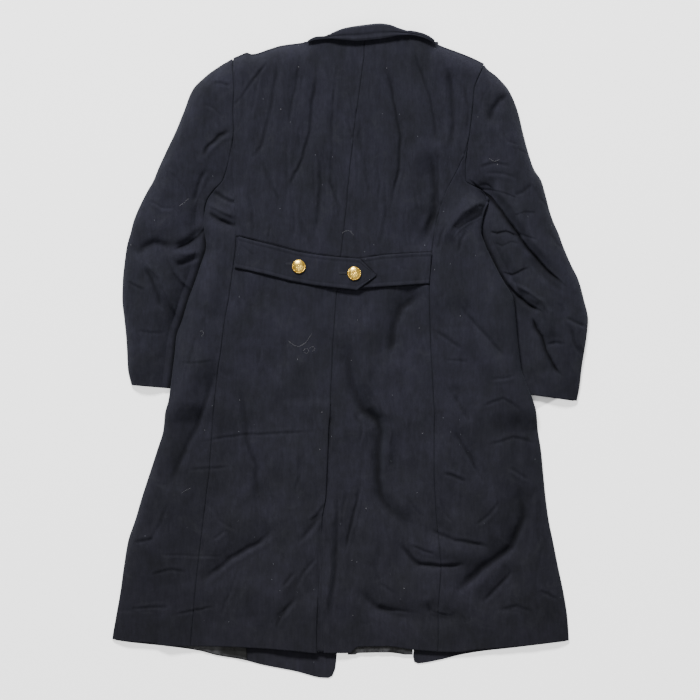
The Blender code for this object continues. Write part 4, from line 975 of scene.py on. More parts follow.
class Sheet:
    """A grid of points: rows run along the piece and columns across it. turned says how far a point
    has gone round an edge, from 0 on the side that shows to 1 underneath."""

    # hollow is painted shade, from 0 to 1
    NAMES = ("x", "y", "z", "turned", "hollow")

    def __init__(self, x, y, z, hollow=None):
        self.x, self.y, self.z = x, y, z
        self.turned = np.zeros_like(x)
        self.hollow = np.zeros_like(x) if hollow is None else hollow

    def change(self, action):
        for name in self.NAMES:
            setattr(self, name, action(getattr(self, name)))

    def outward(self):
        """Directions from the second column to the first, and the distances between them."""
        dx, dy = self.x[:, 0] - self.x[:, 1], self.y[:, 0] - self.y[:, 1]
        size = np.maximum(np.hypot(dx, dy), 1e-6)
        return dx / size, dy / size, size

    def turned_edge(self, style, edge):
        """An edge that is turned over a hem or down into a seam."""
        table = np.array(PROFILES[style])
        distance = table[None, :, 0] * edge.squeeze[:, None]
        drop = table[None, :, 1] * edge.squeeze[:, None] * (1 - self.turned[:, :1])
        turned = np.maximum(self.turned[:, :1], table[None, :, 1] / table[-1, 1])
        return distance, self.z[:, :1] - drop, turned

    def folded_edge(self, edge):
        """An edge where the cloth rolls round a fold down to a lower height."""
        size = self.outward()[2]
        top, under, start = self.z[:, :1], edge.under[:, None], edge.start()[:, None]
        slope = np.maximum((self.z[:, 1:2] - top) / size[:, None], 0)
        lean = 1 / np.sqrt(1 + slope**2)
        t = np.linspace(0, 1, EDGE_POINTS)[None, 1:]
        early, late = 3 * t * (1 - t) ** 2, 3 * t * t * (1 - t)
        reach = early * lean + late
        control = start / reach.max(axis=1, keepdims=True)
        shoulder = np.maximum(top - control * slope * lean, under)
        distance = start - control * reach
        z = (1 - t) ** 3 * top + early * shoulder + (late + t**3) * under
        distance = np.concatenate([distance, start + FOLD_RETURN], axis=1)
        z = np.concatenate([z, under + 0.4], axis=1)
        return distance, z, np.clip((top - z) / np.maximum(top - under, 0.5), 0, 1)

    def finish(self, edge):
        """Adds the columns of an edge before the first column."""
        def profile(style):
            return self.folded_edge(edge) if style == "fold" else self.turned_edge(style, edge)

        distance, z, turned = profile(edge.style)
        if edge.other:
            share = edge.share[:, None]
            mixed = zip((distance, z, turned), profile(edge.other))
            distance, z, turned = (a * (1 - share) + b * share for a, b in mixed)
        dx, dy, _ = self.outward()
        out = edge.start()[:, None] - distance
        # painted shade deepens where the cloth turns round an edge or down into a seam
        extra = {"x": self.x[:, :1] + dx[:, None] * out, "y": self.y[:, :1] + dy[:, None] * out,
                 "z": z, "turned": turned, "hollow": np.maximum(self.hollow[:, :1], 0.6 * turned)}
        for name in self.NAMES:
            setattr(self, name, np.concatenate([extra[name][:, ::-1], getattr(self, name)], axis=1))

    def finish_sides(self, left, right):
        self.finish(left)
        self.change(np.fliplr)
        self.finish(right)
        self.change(np.fliplr)

    def finish_ends(self, first, last):
        """Edges along the first and the last row; each is given as a function of the number of columns."""
        self.change(np.transpose)
        self.finish(first(self.x.shape[0]))
        self.change(np.fliplr)
        self.finish(last(self.x.shape[0]))
        self.change(np.fliplr)
        self.change(np.transpose)


def hem(count):
    return Edge("hem", count)


def make_piece(name, vertices, faces, material):
    mesh = bpy.data.meshes.new(name)
    mesh.from_pydata([tuple(v) for v in vertices], [], faces)
    mesh.update()
    mesh.polygons.foreach_set("use_smooth", [True] * len(mesh.polygons))
    mesh.materials.append(material)
    piece = bpy.data.objects.new(name, mesh)
    bpy.context.scene.collection.objects.link(piece)
    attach(piece, "root")
    return piece


def grid_faces(rows, columns):
    first = (np.arange(rows - 1)[:, None] * columns + np.arange(columns - 1)[None, :]).ravel()
    return np.stack([first, first + 1, first + columns + 1, first + columns], axis=1).tolist()


def from_grid(name, x, y, z, material, hollow=None):
    points = np.stack([x, y, z], axis=-1).reshape(-1, 3) * MM
    piece = make_piece(name, points, grid_faces(*x.shape), material)
    # the hollow attribute carries painted shade to the materials
    if hollow is not None:
        layer = piece.data.attributes.new("hollow", "FLOAT", "POINT")
        layer.data.foreach_set("value", hollow.ravel())
    return piece


def between(first, last, shares):
    """A grid of values whose rows run from their first to their last value by the shares."""
    return first[:, None] + (last - first)[:, None] * np.atleast_2d(shares)


def fit_edges(width, one, other):
    """Narrows both edges of a sheet where it is narrow."""
    one.squeeze = other.squeeze = np.minimum(1, width / (SQUEEZED * (one.start() + other.start())))


def body_sheet(name, node, left, right, rows, edges, surface, flat, area, top="hem"):
    """A panel of the back or side that shows, between two lengthwise edges."""
    x_left, y_left = on_row(rows, left)
    x_right, y_right = on_row(rows, right)
    left_edge, right_edge = edges(y_left, x_left, y_right, x_right)
    fit_edges(x_right - x_left, left_edge, right_edge)
    first, last = x_left + left_edge.start(), x_right - right_edge.start()
    x = between(first, last, np.linspace(0, 1, int(np.ceil((last - first).max() / STEP)) + 1))
    y = body_row(rows[:, None], x)
    relief = back_relief(x, y)
    # painted shade in creases, along the belt's outline and in the vent's gaps
    painted_shade = np.maximum.reduce([painted_crease_shade(relief), BELT_EDGE_SHADE * belt_edge_shade(x, y), vent_shadow(x, y)])
    sheet = Sheet(x, y, surface(x, y, relief), painted_shade)
    sheet.finish_sides(left_edge, right_edge)
    sheet.finish_ends(hem, lambda count: Edge(top, count))
    piece = from_grid(name, sheet.x, sheet.y, sheet.z, WOOL, sheet.hollow)
    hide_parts(node)


def from_rim(x, y):
    """How far a grid's points lie from its rim, along its rows and columns."""
    nearest = []
    for a, b in ((x, y), (x.T, y.T)):
        step = np.hypot(np.diff(a, axis=0), np.diff(b, axis=0))
        walked = np.concatenate([np.zeros_like(a[:1]), np.cumsum(step, axis=0)])
        nearest.append(np.minimum(walked, walked[-1:] - walked))
    return np.minimum(nearest[0], nearest[1].T)


def slab(name, x, y, low, thickness, material, hollow=None):
    """A thin piece with a rounded rim, over a grid of places whose columns and rows end at its edges."""
    piece = from_grid(name, x, y, low + thickness / 2, material, hollow)
    share = np.clip(from_rim(x, y) / (0.5 * thickness), 0, 1)
    weight = np.round(np.maximum(np.sqrt(1 - (1 - share) ** 2), RIM_THINNEST).ravel(), 2)
    rim = piece.vertex_groups.new(name="rim")
    for level in np.unique(weight):
        rim.add(np.flatnonzero(weight == level).tolist(), float(level), "REPLACE")
    solid = piece.modifiers.new("thickness", "SOLIDIFY")
    solid.thickness = thickness * MM
    solid.offset = 0
    solid.use_even_offset = False
    solid.vertex_group = "rim"
    return piece


def rimmed(length, step):
    """Places from 0 to 1 along a length: close together at both ends and a step apart between."""
    last = RIM_STEPS[-1]
    count = max(int(np.ceil((length - 2 * last) / step)) + 1, 2)
    middle = np.linspace(last, length - last, count)
    return np.concatenate([RIM_STEPS[:-1], middle, length - RIM_STEPS[:-1][::-1]]) / length


def named_line(name):
    return lambda height: line(name, height)


# ---------------------------------------------------------------- materials
def node(tree, kind, links=(), **settings):
    """A shader node with its settings, and links from other nodes' outputs to its inputs."""
    made = tree.nodes.new(kind)
    for name, value in settings.items():
        if name in made.inputs:
            made.inputs[name].default_value = value
        else:
            setattr(made, name, value)
    for name, output in links:
        tree.links.new(output, made.inputs[name])
    return made


def ramp(tree, value, stops):
    made = node(tree, "ShaderNodeValToRGB", [("Fac", value)])
    made.color_ramp.elements[0].position, made.color_ramp.elements[0].color = stops[0]
    made.color_ramp.elements[1].position, made.color_ramp.elements[1].color = stops[1]
    for place, colour in stops[2:]:
        made.color_ramp.elements.new(place).color = colour
    return made.outputs["Color"]


def greys(tree, value, *stops):
    """A ramp of greys from (place, level) stops."""
    return ramp(tree, value, [(place, (level, level, level, 1)) for place, level in stops])


def noise(tree, place, scale, detail=3.0, roughness=0.55, distortion=0.0):
    return node(tree, "ShaderNodeTexNoise", [("Vector", place)], Scale=scale, Detail=detail,
                Roughness=roughness, Distortion=distortion).outputs["Fac"]


def stretched(tree, place, scale):
    return node(tree, "ShaderNodeMapping", [("Vector", place)], Scale=scale).outputs["Vector"]


def connect(tree, made, values):
    """Sets a node's inputs, each from a socket or a constant."""
    for name, value in values:
        if isinstance(value, bpy.types.NodeSocket):
            tree.links.new(value, made.inputs[name])
        else:
            made.inputs[name].default_value = value


def mixed(tree, factor, a, b, blend="MIX"):
    """Colours a and b mixed by a factor, each of them a socket or a constant."""
    made = node(tree, "ShaderNodeMix", data_type="RGBA", blend_type=blend)
    connect(tree, made, ((0, factor), (6, a), (7, b)))
    return made.outputs[2]


def times(tree, a, b):
    return mixed(tree, 1.0, a, b, "MULTIPLY")


def math(tree, operation, a, b=0.0):
    made = node(tree, "ShaderNodeMath", operation=operation)
    connect(tree, made, ((0, a), (1, b)))
    return made.outputs[0]


def bump(tree, height, strength, distance, normal=None):
    made = node(tree, "ShaderNodeBump", [("Height", height)], Strength=strength, Distance=distance)
    if normal is not None:
        tree.links.new(normal, made.inputs["Normal"])
    return made.outputs["Normal"]


def new_material(name):
    material = bpy.data.materials.new(name)
    material.use_nodes = True
    tree = material.node_tree
    shader = tree.nodes["Principled BSDF"]
    place = node(tree, "ShaderNodeTexCoord").outputs["Object"]
    return material, tree, shader, place


def painted_shade_in_hollows(tree, darkest):
    """Painted shade: grey that falls from white to darkest where the cloth lies deep in a crease or a seam,
    or in another shaded place.
    """
    deep = node(tree, "ShaderNodeAttribute", attribute_name="hollow").outputs["Fac"]
    return greys(tree, deep, (0.0, 1.0), (1.0, darkest))


def wool_material():
    """Milled navy wool: a soft nap with a faint lengthwise grain, worn and dusty patches, white lint, and
    painted shade in its creases and towards the skirt's outer sides.
    """
    material, tree, shader, place = new_material("milled_wool")
    clouds = noise(tree, place, 55, 3, 0.6, 0.2)
    colour = ramp(tree, noise(tree, place, 14, 4, 0.6, 0.4),
                  [(0.3, (0.0086, 0.0089, 0.0122, 1)), (0.72, (0.0112, 0.0111, 0.0172, 1))])
    # greener towards the hem, and painted shade darkening the skirt's outer sides
    across, height = node(tree, "ShaderNodeSeparateXYZ", [("Vector", place)]).outputs[:2]
    worn = [(0.0, (1.04, 1.01, 0.94, 1)), (0.7, (1.0, 1.0, 1.0, 1))]
    colour = times(tree, colour, ramp(tree, math(tree, "ADD", height, 0.6), worn))
    above = math(tree, "MULTIPLY", math(tree, "MAXIMUM", math(tree, "ADD", height, 0.12), 0.0), 2.0)
    outer = math(tree, "SUBTRACT", math(tree, "ABSOLUTE", across), above)
    colour = times(tree, colour, greys(tree, outer, (0.17, 1.0), (0.36, 0.8)))
    # clouds, streaks, grain and nap
    streaks = noise(tree, stretched(tree, place, (75, 13, 75)), 1.0, 3, 0.6, 0.3)
    grain = noise(tree, stretched(tree, place, (260, 60, 260)), 1.0, 3, 0.6)
    nap = noise(tree, place, 900, 2, 0.7, 0.6)
    for texture, low, high in ((clouds, (0.3, 0.88), (0.7, 1.13)), (streaks, (0.3, 0.88), (0.7, 1.12)),
                               (grain, (0.3, 0.88), (0.7, 1.14)), (nap, (0.25, 0.8), (0.8, 1.3))):
        colour = times(tree, colour, greys(tree, texture, low, high))
    # dust and lint
    dust = greys(tree, noise(tree, place, 24, 5, 0.7, 1.0), (0.56, 0.0), (0.78, 1.0))
    colour = mixed(tree, math(tree, "MULTIPLY", dust, 0.28), colour, (0.024, 0.025, 0.029, 1))
    lint = node(tree, "ShaderNodeTexVoronoi", [("Vector", place)], Scale=62.0)
    near = math(tree, "LESS_THAN", lint.outputs["Distance"], 0.032)
    chance = node(tree, "ShaderNodeSeparateColor", [("Color", lint.outputs["Color"])]).outputs[0]
    speck = math(tree, "MULTIPLY", near, math(tree, "GREATER_THAN", chance, 0.72))
    colour = mixed(tree, math(tree, "MULTIPLY", speck, 0.75), colour, (0.19, 0.20, 0.22, 1))
    # painted shade in creases, seams and other shaded places
    tree.links.new(times(tree, colour, painted_shade_in_hollows(tree, 0.22)), shader.inputs["Base Color"])
    tree.links.new(greys(tree, clouds, (0.2, 0.86), (0.8, 0.98)), shader.inputs["Roughness"])
    shader.inputs["Specular IOR Level"].default_value = 0.08
    shader.inputs["Sheen Weight"].default_value = 0.04
    shader.inputs["Sheen Roughness"].default_value = 0.55
    shader.inputs["Sheen Tint"].default_value = (0.62, 0.68, 0.88, 1)
    fibres = noise(tree, stretched(tree, place, (1500, 600, 1500)), 1.0, 3, 0.7, 0.8)
    normal = bump(tree, noise(tree, place, 120, 4, 0.6, 0.3), 0.5, 0.0007)
    normal = bump(tree, fibres, 0.6, 0.00035, normal)
    tree.links.new(normal, shader.inputs["Normal"])
    return material


def lining_material():
    """Dark satin lining with fine ribs and creases, and painted shade where it lies in shadow."""
    material, tree, shader, place = new_material("satin_lining")
    ribs = node(tree, "ShaderNodeTexWave", [("Vector", place)], Scale=420.0, Distortion=1.5).outputs["Fac"]
    colour = ramp(tree, noise(tree, place, 70, 4),
                  [(0.38, (0.006, 0.006, 0.007, 1)), (0.66, (0.038, 0.038, 0.041, 1))])
    colour = times(tree, colour, greys(tree, ribs, (0.0, 0.86), (1.0, 1.12)))
    # painted shade and shadow on the lining
    tree.links.new(times(tree, colour, painted_shade_in_hollows(tree, 0.05)), shader.inputs["Base Color"])
    rough = greys(tree, noise(tree, place, 80, 3), (0.2, 0.42), (0.8, 0.6))
    tree.links.new(rough, shader.inputs["Roughness"])
    shader.inputs["Specular IOR Level"].default_value = 0.2
    shader.inputs["Sheen Weight"].default_value = 0.05
    normal = bump(tree, noise(tree, stretched(tree, place, (90, 25, 90)), 1.0, 3), 0.7, 0.002)
    tree.links.new(bump(tree, ribs, 0.2, 0.0002, normal), shader.inputs["Normal"])
    return material


def brass_material():
    """Gilt brass, duller in its hollows."""
    material, tree, shader, place = new_material("gilt_brass")
    tone = ramp(tree, noise(tree, place, 260, 4, 0.6),
                [(0.3, (0.70, 0.44, 0.07, 1)), (0.7, (0.93, 0.66, 0.16, 1))])
    pits = greys(tree, noise(tree, place, 1400, 3), (0.35, 0.6), (0.6, 1.0))
    tree.links.new(mixed(tree, 0.6, tone, pits, "MULTIPLY"), shader.inputs["Base Color"])
    rough = greys(tree, noise(tree, place, 500, 3), (0.3, 0.22), (0.8, 0.42))
    tree.links.new(rough, shader.inputs["Roughness"])
    shader.inputs["Metallic"].default_value = 1.0
    tree.links.new(bump(tree, noise(tree, place, 1600, 2), 0.25, 0.0002), shader.inputs["Normal"])
    return material


def thread_material():
    """Grey-blue buttonhole twist."""
    material, tree, shader, place = new_material("buttonhole_twist")
    tone = ramp(tree, noise(tree, place, 1500, 2),
                [(0.3, (0.016, 0.017, 0.022, 1)), (0.7, (0.030, 0.031, 0.040, 1))])
    tree.links.new(tone, shader.inputs["Base Color"])
    rough = greys(tree, noise(tree, place, 700, 2), (0.2, 0.5), (0.8, 0.7))
    tree.links.new(rough, shader.inputs["Roughness"])
    shader.inputs["Specular IOR Level"].default_value = 0.1
    return material


def lint_material():
    """Pale lint and hair."""
    material, tree, shader, place = new_material("lint")
    tone = ramp(tree, noise(tree, place, 900, 2),
                [(0.3, (0.09, 0.09, 0.10, 1)), (0.7, (0.20, 0.20, 0.21, 1))])
    tree.links.new(tone, shader.inputs["Base Color"])
    shader.inputs["Roughness"].default_value = 0.8
    return material


WOOL = wool_material()
SATIN = lining_material()
BRASS = brass_material()
THREAD = thread_material()
LINT = lint_material()


# ---------------------------------------------------------------- backs and sides
def left_of_back(height):
    return np.where(height > SEAM_APEX, line("side_left", height), seam_left(height))


def right_of_back(height):
    return np.where(height > SEAM_APEX, line("side_right", height), seam_right(height))


def vent_fold(height):
    return line("centre", height) + smooth(VENT_REVEAL, height) - SEAM_GAP


ALL_ROWS = np.linspace(HEM_START, BODY_LENGTH - HEM_START, int(BODY_LENGTH / STEP)) / BODY_LENGTH


def rows_to(height, edge):
    return ALL_ROWS[on_row(ALL_ROWS, edge)[1] < height]


def side_back_seam(height):
    """Above the belt it lies flush, and shows again where the back meets the sleeve."""
    share = ease((height - FLUSH_FROM) / 40) * ease((SEAM_APEX - height) / 25)
    return Edge("seam", len(height), "flush", share)


def make_backs():
    """The backs, left and right of the centre seam, and the sides."""
    count = len(ALL_ROWS)

    def lapping(y_left, x_left, y_right, x_right):
        return side_back_seam(y_left), Edge("seam", count, "hem", ease((VENT_TOP - y_right) / 12))

    def lapped(y_left, x_left, y_right, x_right):
        return Edge("seam", count, "flush", ease((VENT_TOP - y_left) / 12)), side_back_seam(y_right)

    body_sheet("back_left_cloth", "back_left", left_of_back, named_line("centre"), ALL_ROWS, lapping,
               lapping_surface, (0.262, 1.19), 0.285)
    body_sheet("back_right_cloth", "back_right", vent_fold, right_of_back, ALL_ROWS, lapped,
               back_surface, (0.27, 1.19), 0.275)

    for side, inner_line, flat, area in (("left", seam_left, (0.19, 0.99), 0.118),
                                         ("right", seam_right, (0.29, 0.99), 0.185)):
        rows = rows_to(SEAM_APEX - SEAM_START, inner_line)

        def edges(y_left, x_left, y_right, x_right):
            y, x = (y_left, x_left) if side == "left" else (y_right, x_right)
            folded = Edge("fold", len(rows), "seam", 1 - below(SEWN_FROM[side], y), front_height(x, y))
            if side == "left":
                return folded, side_back_seam(y_right)
            return side_back_seam(y_left), folded

        lines = [named_line("side_" + side), inner_line]
        if side == "right":
            lines.reverse()
        body_sheet(f"side_{side}_cloth", f"side_{side}", *lines, rows, edges, back_surface,
                   flat, area, "flush")


def make_underlay():
    """The vent's underlay, which shows beside the lapping edge."""
    rows = rows_to(VENT_TOP - 12, named_line("centre"))[::2]
    left = on_row(rows, lambda height: line("centre", height) - UNDERLAY_WIDTH)[0]
    x = between(left, on_row(rows, vent_fold)[0], rimmed(60, 3.0))
    y = body_row(rows[:, None], x)
    piece = slab("vent_underlay_cloth", x, y, back_surface(x, y) - 1.15 * CLOTH, CLOTH, WOOL)
    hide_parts("vent_underlay")


# ---------------------------------------------------------------- fronts
def make_fronts():
    """The fronts, face down on the surface."""
    def row_of(table):
        def row(share, x):
            longer = smooth(table, x) - smooth(BACK_HEM, x)
            return body_row(share, x) + longer * np.maximum(1 - share / 0.1, 0) ** 2
        return row

    def tucked(side, height):
        """The side fold, and inside it where the side's cloth rolls under."""
        armpit = ARMPIT_LEFT if side == "left" else ARMPIT_RIGHT
        inward = 1 if side == "left" else -1
        return line("side_" + side, height) + inward * (SEAM_GAP + TUCK * below(armpit, height))

    rows = rimmed(BODY_LENGTH, COARSE)
    for side, hem_table, left, right, flat, area in (
        ("left", FRONT_HEM_LEFT, lambda h: tucked("left", h), lambda h: smooth(FRONT_EDGE_LEFT, h),
         (0.43, 1.21), 0.40),
        ("right", FRONT_HEM_RIGHT, lambda h: smooth(FRONT_EDGE_RIGHT, h), lambda h: tucked("right", h),
         (0.32, 1.18), 0.255),
    ):
        row = row_of(hem_table)
        first, last = on_row(rows, left, row)[0], on_row(rows, right, row)[0]
        x = between(first, last, rimmed((last - first).max(), COARSE))
        y = row(rows[:, None], x)
        piece = slab(f"front_{side}_cloth", x, y, front_height(x, y), CLOTH, WOOL)
        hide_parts(f"front_{side}")


# ---------------------------------------------------------------- sleeves
def make_sleeve_top(side, table):
    """The top sleeve, from its outer fold to its inner fold and, above that, the armhole seam."""
    length = table[-1][0] - table[0][0]
    inner_y = np.linspace(table[0][0] + HEM_START, table[-1][0] - HEM_START, int(length / SLEEVE_STEP))
    outer_y = smooth(table, inner_y)
    inner_x, outer_x = line("in_" + side, inner_y), line("out_" + side, outer_y)
    count = len(inner_y)
    ground = np.zeros(count)
    inner = Edge("fold", count, "seam", 1 - below(SEWN_FROM[side], inner_y), ground)
    outer = Edge("fold", count, under=ground)
    width = abs(inner_x - outer_x)
    fit_edges(width, inner, outer)
    columns = np.linspace(0, 1, int(width.max() / SLEEVE_STEP))
    shares = between(outer.start() / width, 1 - inner.start() / width, columns)
    x, y = between(outer_x, inner_x, shares), between(outer_y, inner_y, shares)
    relief = sleeve_relief(x, y)
    # painted shade in creases and in the hollow beside the body
    painted_shade = np.maximum(painted_crease_shade(relief), beside_body(side, x, y))
    sheet = Sheet(x, y, sleeve_surface(side)(x, y, relief), painted_shade)
    sheet.finish_sides(outer, inner)
    sheet.finish_ends(hem, hem)
    piece = from_grid(f"sleeve_{side}_top_cloth", sheet.x, sheet.y, sheet.z, WOOL, sheet.hollow)
    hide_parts(f"sleeve_{side}_top")


def make_sleeve_under(side, table, armpit, inward):
    """The under sleeve, flat on the surface."""
    inner_y = np.linspace(table[0][0], table[-1][0], int((table[-1][0] - table[0][0]) / COARSE))
    outer_y = smooth(table, inner_y)
    start, rise, fall = ARMPIT_SPAN
    bulge = ARMPIT_TUCK * ease((inner_y - start) / rise) * ease((armpit - inner_y) / fall)
    inner_x = line("in_" + side, inner_y) - inward * (SEAM_GAP + TUCK * below(armpit, inner_y) - bulge)
    outer_x = line("out_" + side, outer_y) + inward * TUCK * roll(table[-1][0] - inner_y, 20)
    shares = rimmed(160, COARSE)
    x, y = between(outer_x, inner_x, shares), between(outer_y, inner_y, shares)
    piece = slab(f"sleeve_{side}_under_cloth", x, y, 0 * x, CLOTH, WOOL)
    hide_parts(f"sleeve_{side}_under")


def make_sleeves():
    for side, table, armpit, inward in (("left", SLEEVE_ROWS_LEFT, ARMPIT_LEFT, 1),
                                        ("right", SLEEVE_ROWS_RIGHT, ARMPIT_RIGHT, -1)):
        make_sleeve_top(side, table)
        make_sleeve_under(side, table, armpit, inward)


# ---------------------------------------------------------------- collar
def bell(share, shape):
    """A swelling of a height, at a place and of a width, all three in its shape."""
    height, place, width = shape
    return height * np.exp(-(((share - place) / width) ** 2))


def make_collar_fall():
    start, end = COLLAR_SPAN
    places = np.linspace(start + HEM_START, end - HEM_START, int((end - start) / COLLAR_STEP))
    edge, fold = smooth(COLLAR_EDGE, places), smooth(COLLAR_FOLD, places)
    depth = np.maximum(fold - edge, 1.0)
    hem_depth, fold_depth = np.minimum(HEM_START, 0.25 * depth), np.minimum(4.0, 0.35 * depth)
    y = between(edge + hem_depth, fold - fold_depth, np.linspace(0, 1, 34))
    x = np.broadcast_to(places[:, None], y.shape).copy()
    share = (y - edge[:, None]) / depth[:, None]
    middle = ease((x - start) / 70) * ease((end - x) / 45)
    z = fall_height(x, y) + 1.3 * CLOTH
    z = z + middle * (COLLAR_LIFT + bell(share, COLLAR_ROLL) - bell(share, COLLAR_GROOVE))
    sheet = Sheet(x, y, z + waves(x, y, COLLAR_WAVES))
    beside_neck = ease((abs(places - MIDDLE) - 45) / 25)
    above, beside = COLLAR_UNDER
    outer, top = hem(len(places)), Edge("fold", len(places), under=above + (beside - above) * beside_neck)
    outer.squeeze, top.squeeze = hem_depth / HEM_START, fold_depth / FOLD_START
    sheet.finish_sides(outer, top)
    sheet.finish_ends(hem, hem)
    piece = from_grid("collar_fall_cloth", sheet.x, sheet.y, sheet.z, WOOL)
    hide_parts("collar_fall")


def make_collar_stand():
    places = np.linspace(*STAND_SPAN, 50)
    seam_y = smooth(SHOULDERS, places) + SEAM_GAP
    y = between(seam_y, seam_y + (smooth(COLLAR_FOLD, places) - seam_y) * STAND_SHARE, rimmed(14, 1.5))
    x = np.broadcast_to(places[:, None], y.shape).copy()
    piece = slab("collar_stand_cloth", x, y, back_height(x, y), CLOTH, WOOL)
    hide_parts("collar_stand")


def make_collar_ends():
    """The collar's run round to the fronts, on both sides of the neck."""
    for side, sign, neckline in (("left", 1, FRONT_EDGE_LEFT), ("right", -1, FRONT_EDGE_RIGHT)):
        low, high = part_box(f"collar_end_{side}")
        outer_y = np.linspace(low[1] / MM, high[1] / MM, 60)
        outer_x = smooth(neckline, outer_y) + sign * SEAM_GAP
        inner_x, inner_y = (values[::-1] for values in edge_points(COLLAR_END_INNER, np.linspace(0, 1, 60)))
        shares = rimmed(30, 1.5)
        x = between(outer_x, MIDDLE + sign * (inner_x - MIDDLE), shares)
        y = between(outer_y, inner_y, shares)
        piece = slab(f"collar_end_{side}_cloth", x, y, 0 * x, CLOTH, WOOL)
        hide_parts(f"collar_end_{side}")


# ---------------------------------------------------------------- half belt, buttons, lining
def belt_surface(x, y, shares, lifted):
    """Underside of a belt, with its pressed edges and soft waves."""
    base = over_belt(x, y) if lifted else belt_base(x, y)
    inside = np.minimum(shares, 1 - shares)
    base = base + bell(inside, BELT_RIM) - bell(inside, BELT_GROOVE)
    return base + waves(x, y, BELT_WAVES) + creases(x, y, BELT_CREASES)


def make_belt():
    """The belt's two tabs. The lapping one's columns run between knots, so that its point stays sharp."""
    for name, low, top, lapping, length, flat, area in (
        ("belt_right", BELT_RIGHT_LOW, BELT_RIGHT_TOP, False, 170, (0.062, 0.175), 0.0098),
        ("belt_left", BELT_LEFT_LOW, BELT_LEFT_TOP, True, 268, (0.063, 0.275), 0.0152),
    ):
        along, across = rimmed(length, BELT_STEP), rimmed(58, BELT_STEP)
        low_x, low_y = edge_points(low, along, by_knot=lapping)
        top_x, top_y = edge_points(top, along, by_knot=lapping)
        x, y = between(low_x, top_x, across), between(low_y, top_y, across)
        z = belt_surface(x, y, np.broadcast_to(across, x.shape), lapping) + BELT_LIFT
        # painted shadow round the lapping tab
        painted_tab_shadow = np.exp(-((along_path(x, y, TAB)[0] / TAB_SHADOW) ** 2)) * (not lapping)
        piece = slab(f"{name}_cloth", x, y, z, BELT_THICK, WOOL, painted_tab_shadow)
        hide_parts(name)


def turned_mesh(profile, steps):
    """Vertices and faces of a shape turned about Z, from (radius, height) points that start on the axis."""
    vertices, faces = [(0, 0, profile[0][1])], []
    angles = np.linspace(0, 2 * np.pi, steps, endpoint=False)
    for radius, height in profile[1:]:
        vertices += [(radius * np.cos(a), radius * np.sin(a), height) for a in angles]
    for k in range(steps):
        faces.append((0, 1 + k, 1 + (k + 1) % steps))
    for ring in range(len(profile) - 2):
        first, second = 1 + ring * steps, 1 + (ring + 1) * steps
        for k in range(steps):
            n = (k + 1) % steps
            faces.append((first + k, second + k, second + n, first + n))
    return np.array(vertices, float), faces


def blob(middle, radii, turn, steps=10):
    """A small egg-shaped bead lying at a place, turned about Z."""
    vertices, faces = [], []
    levels = steps // 2
    c, s = np.cos(turn), np.sin(turn)
    for i in range(levels + 1):
        phi = np.pi * i / levels
        for k in range(steps):
            a = 2 * np.pi * k / steps
            x, y = np.sin(phi) * np.cos(a) * radii[0], np.sin(phi) * np.sin(a) * radii[1]
            z = np.cos(phi) * radii[2]
            vertices.append((x * c - y * s + middle[0], x * s + y * c + middle[1], z + middle[2]))
    for i in range(levels):
        for k in range(steps):
            n = (k + 1) % steps
            faces.append((i * steps + k, (i + 1) * steps + k, (i + 1) * steps + n, i * steps + n))
    return np.array(vertices), faces


def beads(radius, height, count, radii, offset=0.0, lean=0.0, steps=10):
    """Beads in a ring about the middle, each turned outward and then by the lean."""
    turns = 2 * np.pi * (np.arange(count) + offset) / count
    return [blob((radius * np.cos(a), radius * np.sin(a), height), radii, a + lean, steps) for a in turns]


def join(shapes):
    """One shape's vertices and faces from many."""
    vertices, faces, at = [], [], 0
    for v, f in shapes:
        vertices.append(np.asarray(v))
        faces += [tuple(int(i) + at for i in face) for face in f]
        at += len(v)
    return np.concatenate(vertices), faces


def make_buttons():
    """Gilt dome buttons with a rope rim and a plain rosette, each in place of its solid."""
    dome, dome_radius, rim_height = BUTTON_HEIGHT, 10.6, 3.75
    profile = [(0, dome)]
    profile += [(r, dome - 2.4 * (r / dome_radius) ** 2) for r in np.linspace(0.8, dome_radius, 12)]
    profile += [(11.0, 3.55), (11.6, 3.5), (12.3, 3.5), (12.8, 3.2), (BUTTON_RADIUS, 2.5), (12.9, 1.7),
                (12.2, 1.1), (9.0, 0.7), (5.4, 0.5), (5.2, 0.0), (0.05, 0.0)]
    shapes = [turned_mesh(profile, 72)]
    shapes += beads(11.7, rim_height, 40, (1.25, 0.72, 0.7), lean=0.9)        # rope
    shapes += beads(4.3, dome - 0.45, 8, (2.3, 1.15, 0.75), offset=0.5)       # petals
    shapes += beads(8.2, dome - 1.45, 16, (0.6, 0.6, 0.5), steps=8)           # beads round them
    shapes.append(blob((0, 0, dome), (1.7, 1.7, 0.9), 0, 14))
    vertices, faces = join(shapes)
    for name in ("button_left", "button_right"):
        low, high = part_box(name)
        middle = np.array([(low[0] + high[0]) / 2, (low[1] + high[1]) / 2, low[2]])
        piece = make_piece(f"{name}_gilt", vertices * MM + middle, faces, BRASS)
        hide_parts(name)


def make_buttonholes():
    """Worked buttonholes to the left of the buttons: a long ring of close stitches."""
    for number, ends in enumerate((((286, 264), (292.6, 264)), ((339, 273.4), (347, 273.4)))):
        (left, y), (right, _) = photo(ends)
        shapes = []
        stitches = int((right - left) / STITCH)
        for k in range(stitches):
            x = left + (right - left) * (k + 0.5) / stitches
            for side in (-1, 1):
                beside = y + side * 0.95
                z = float(over_belt(np.array([x]), np.array([beside]))[0]) + BELT_THICK + 0.5
                shapes.append(blob((x, beside, z), (0.36, 1.05, 0.42), 0.12 * side, 8))
        vertices, faces = join(shapes)
        make_piece(f"buttonhole_{number}", vertices * MM, faces, THREAD)


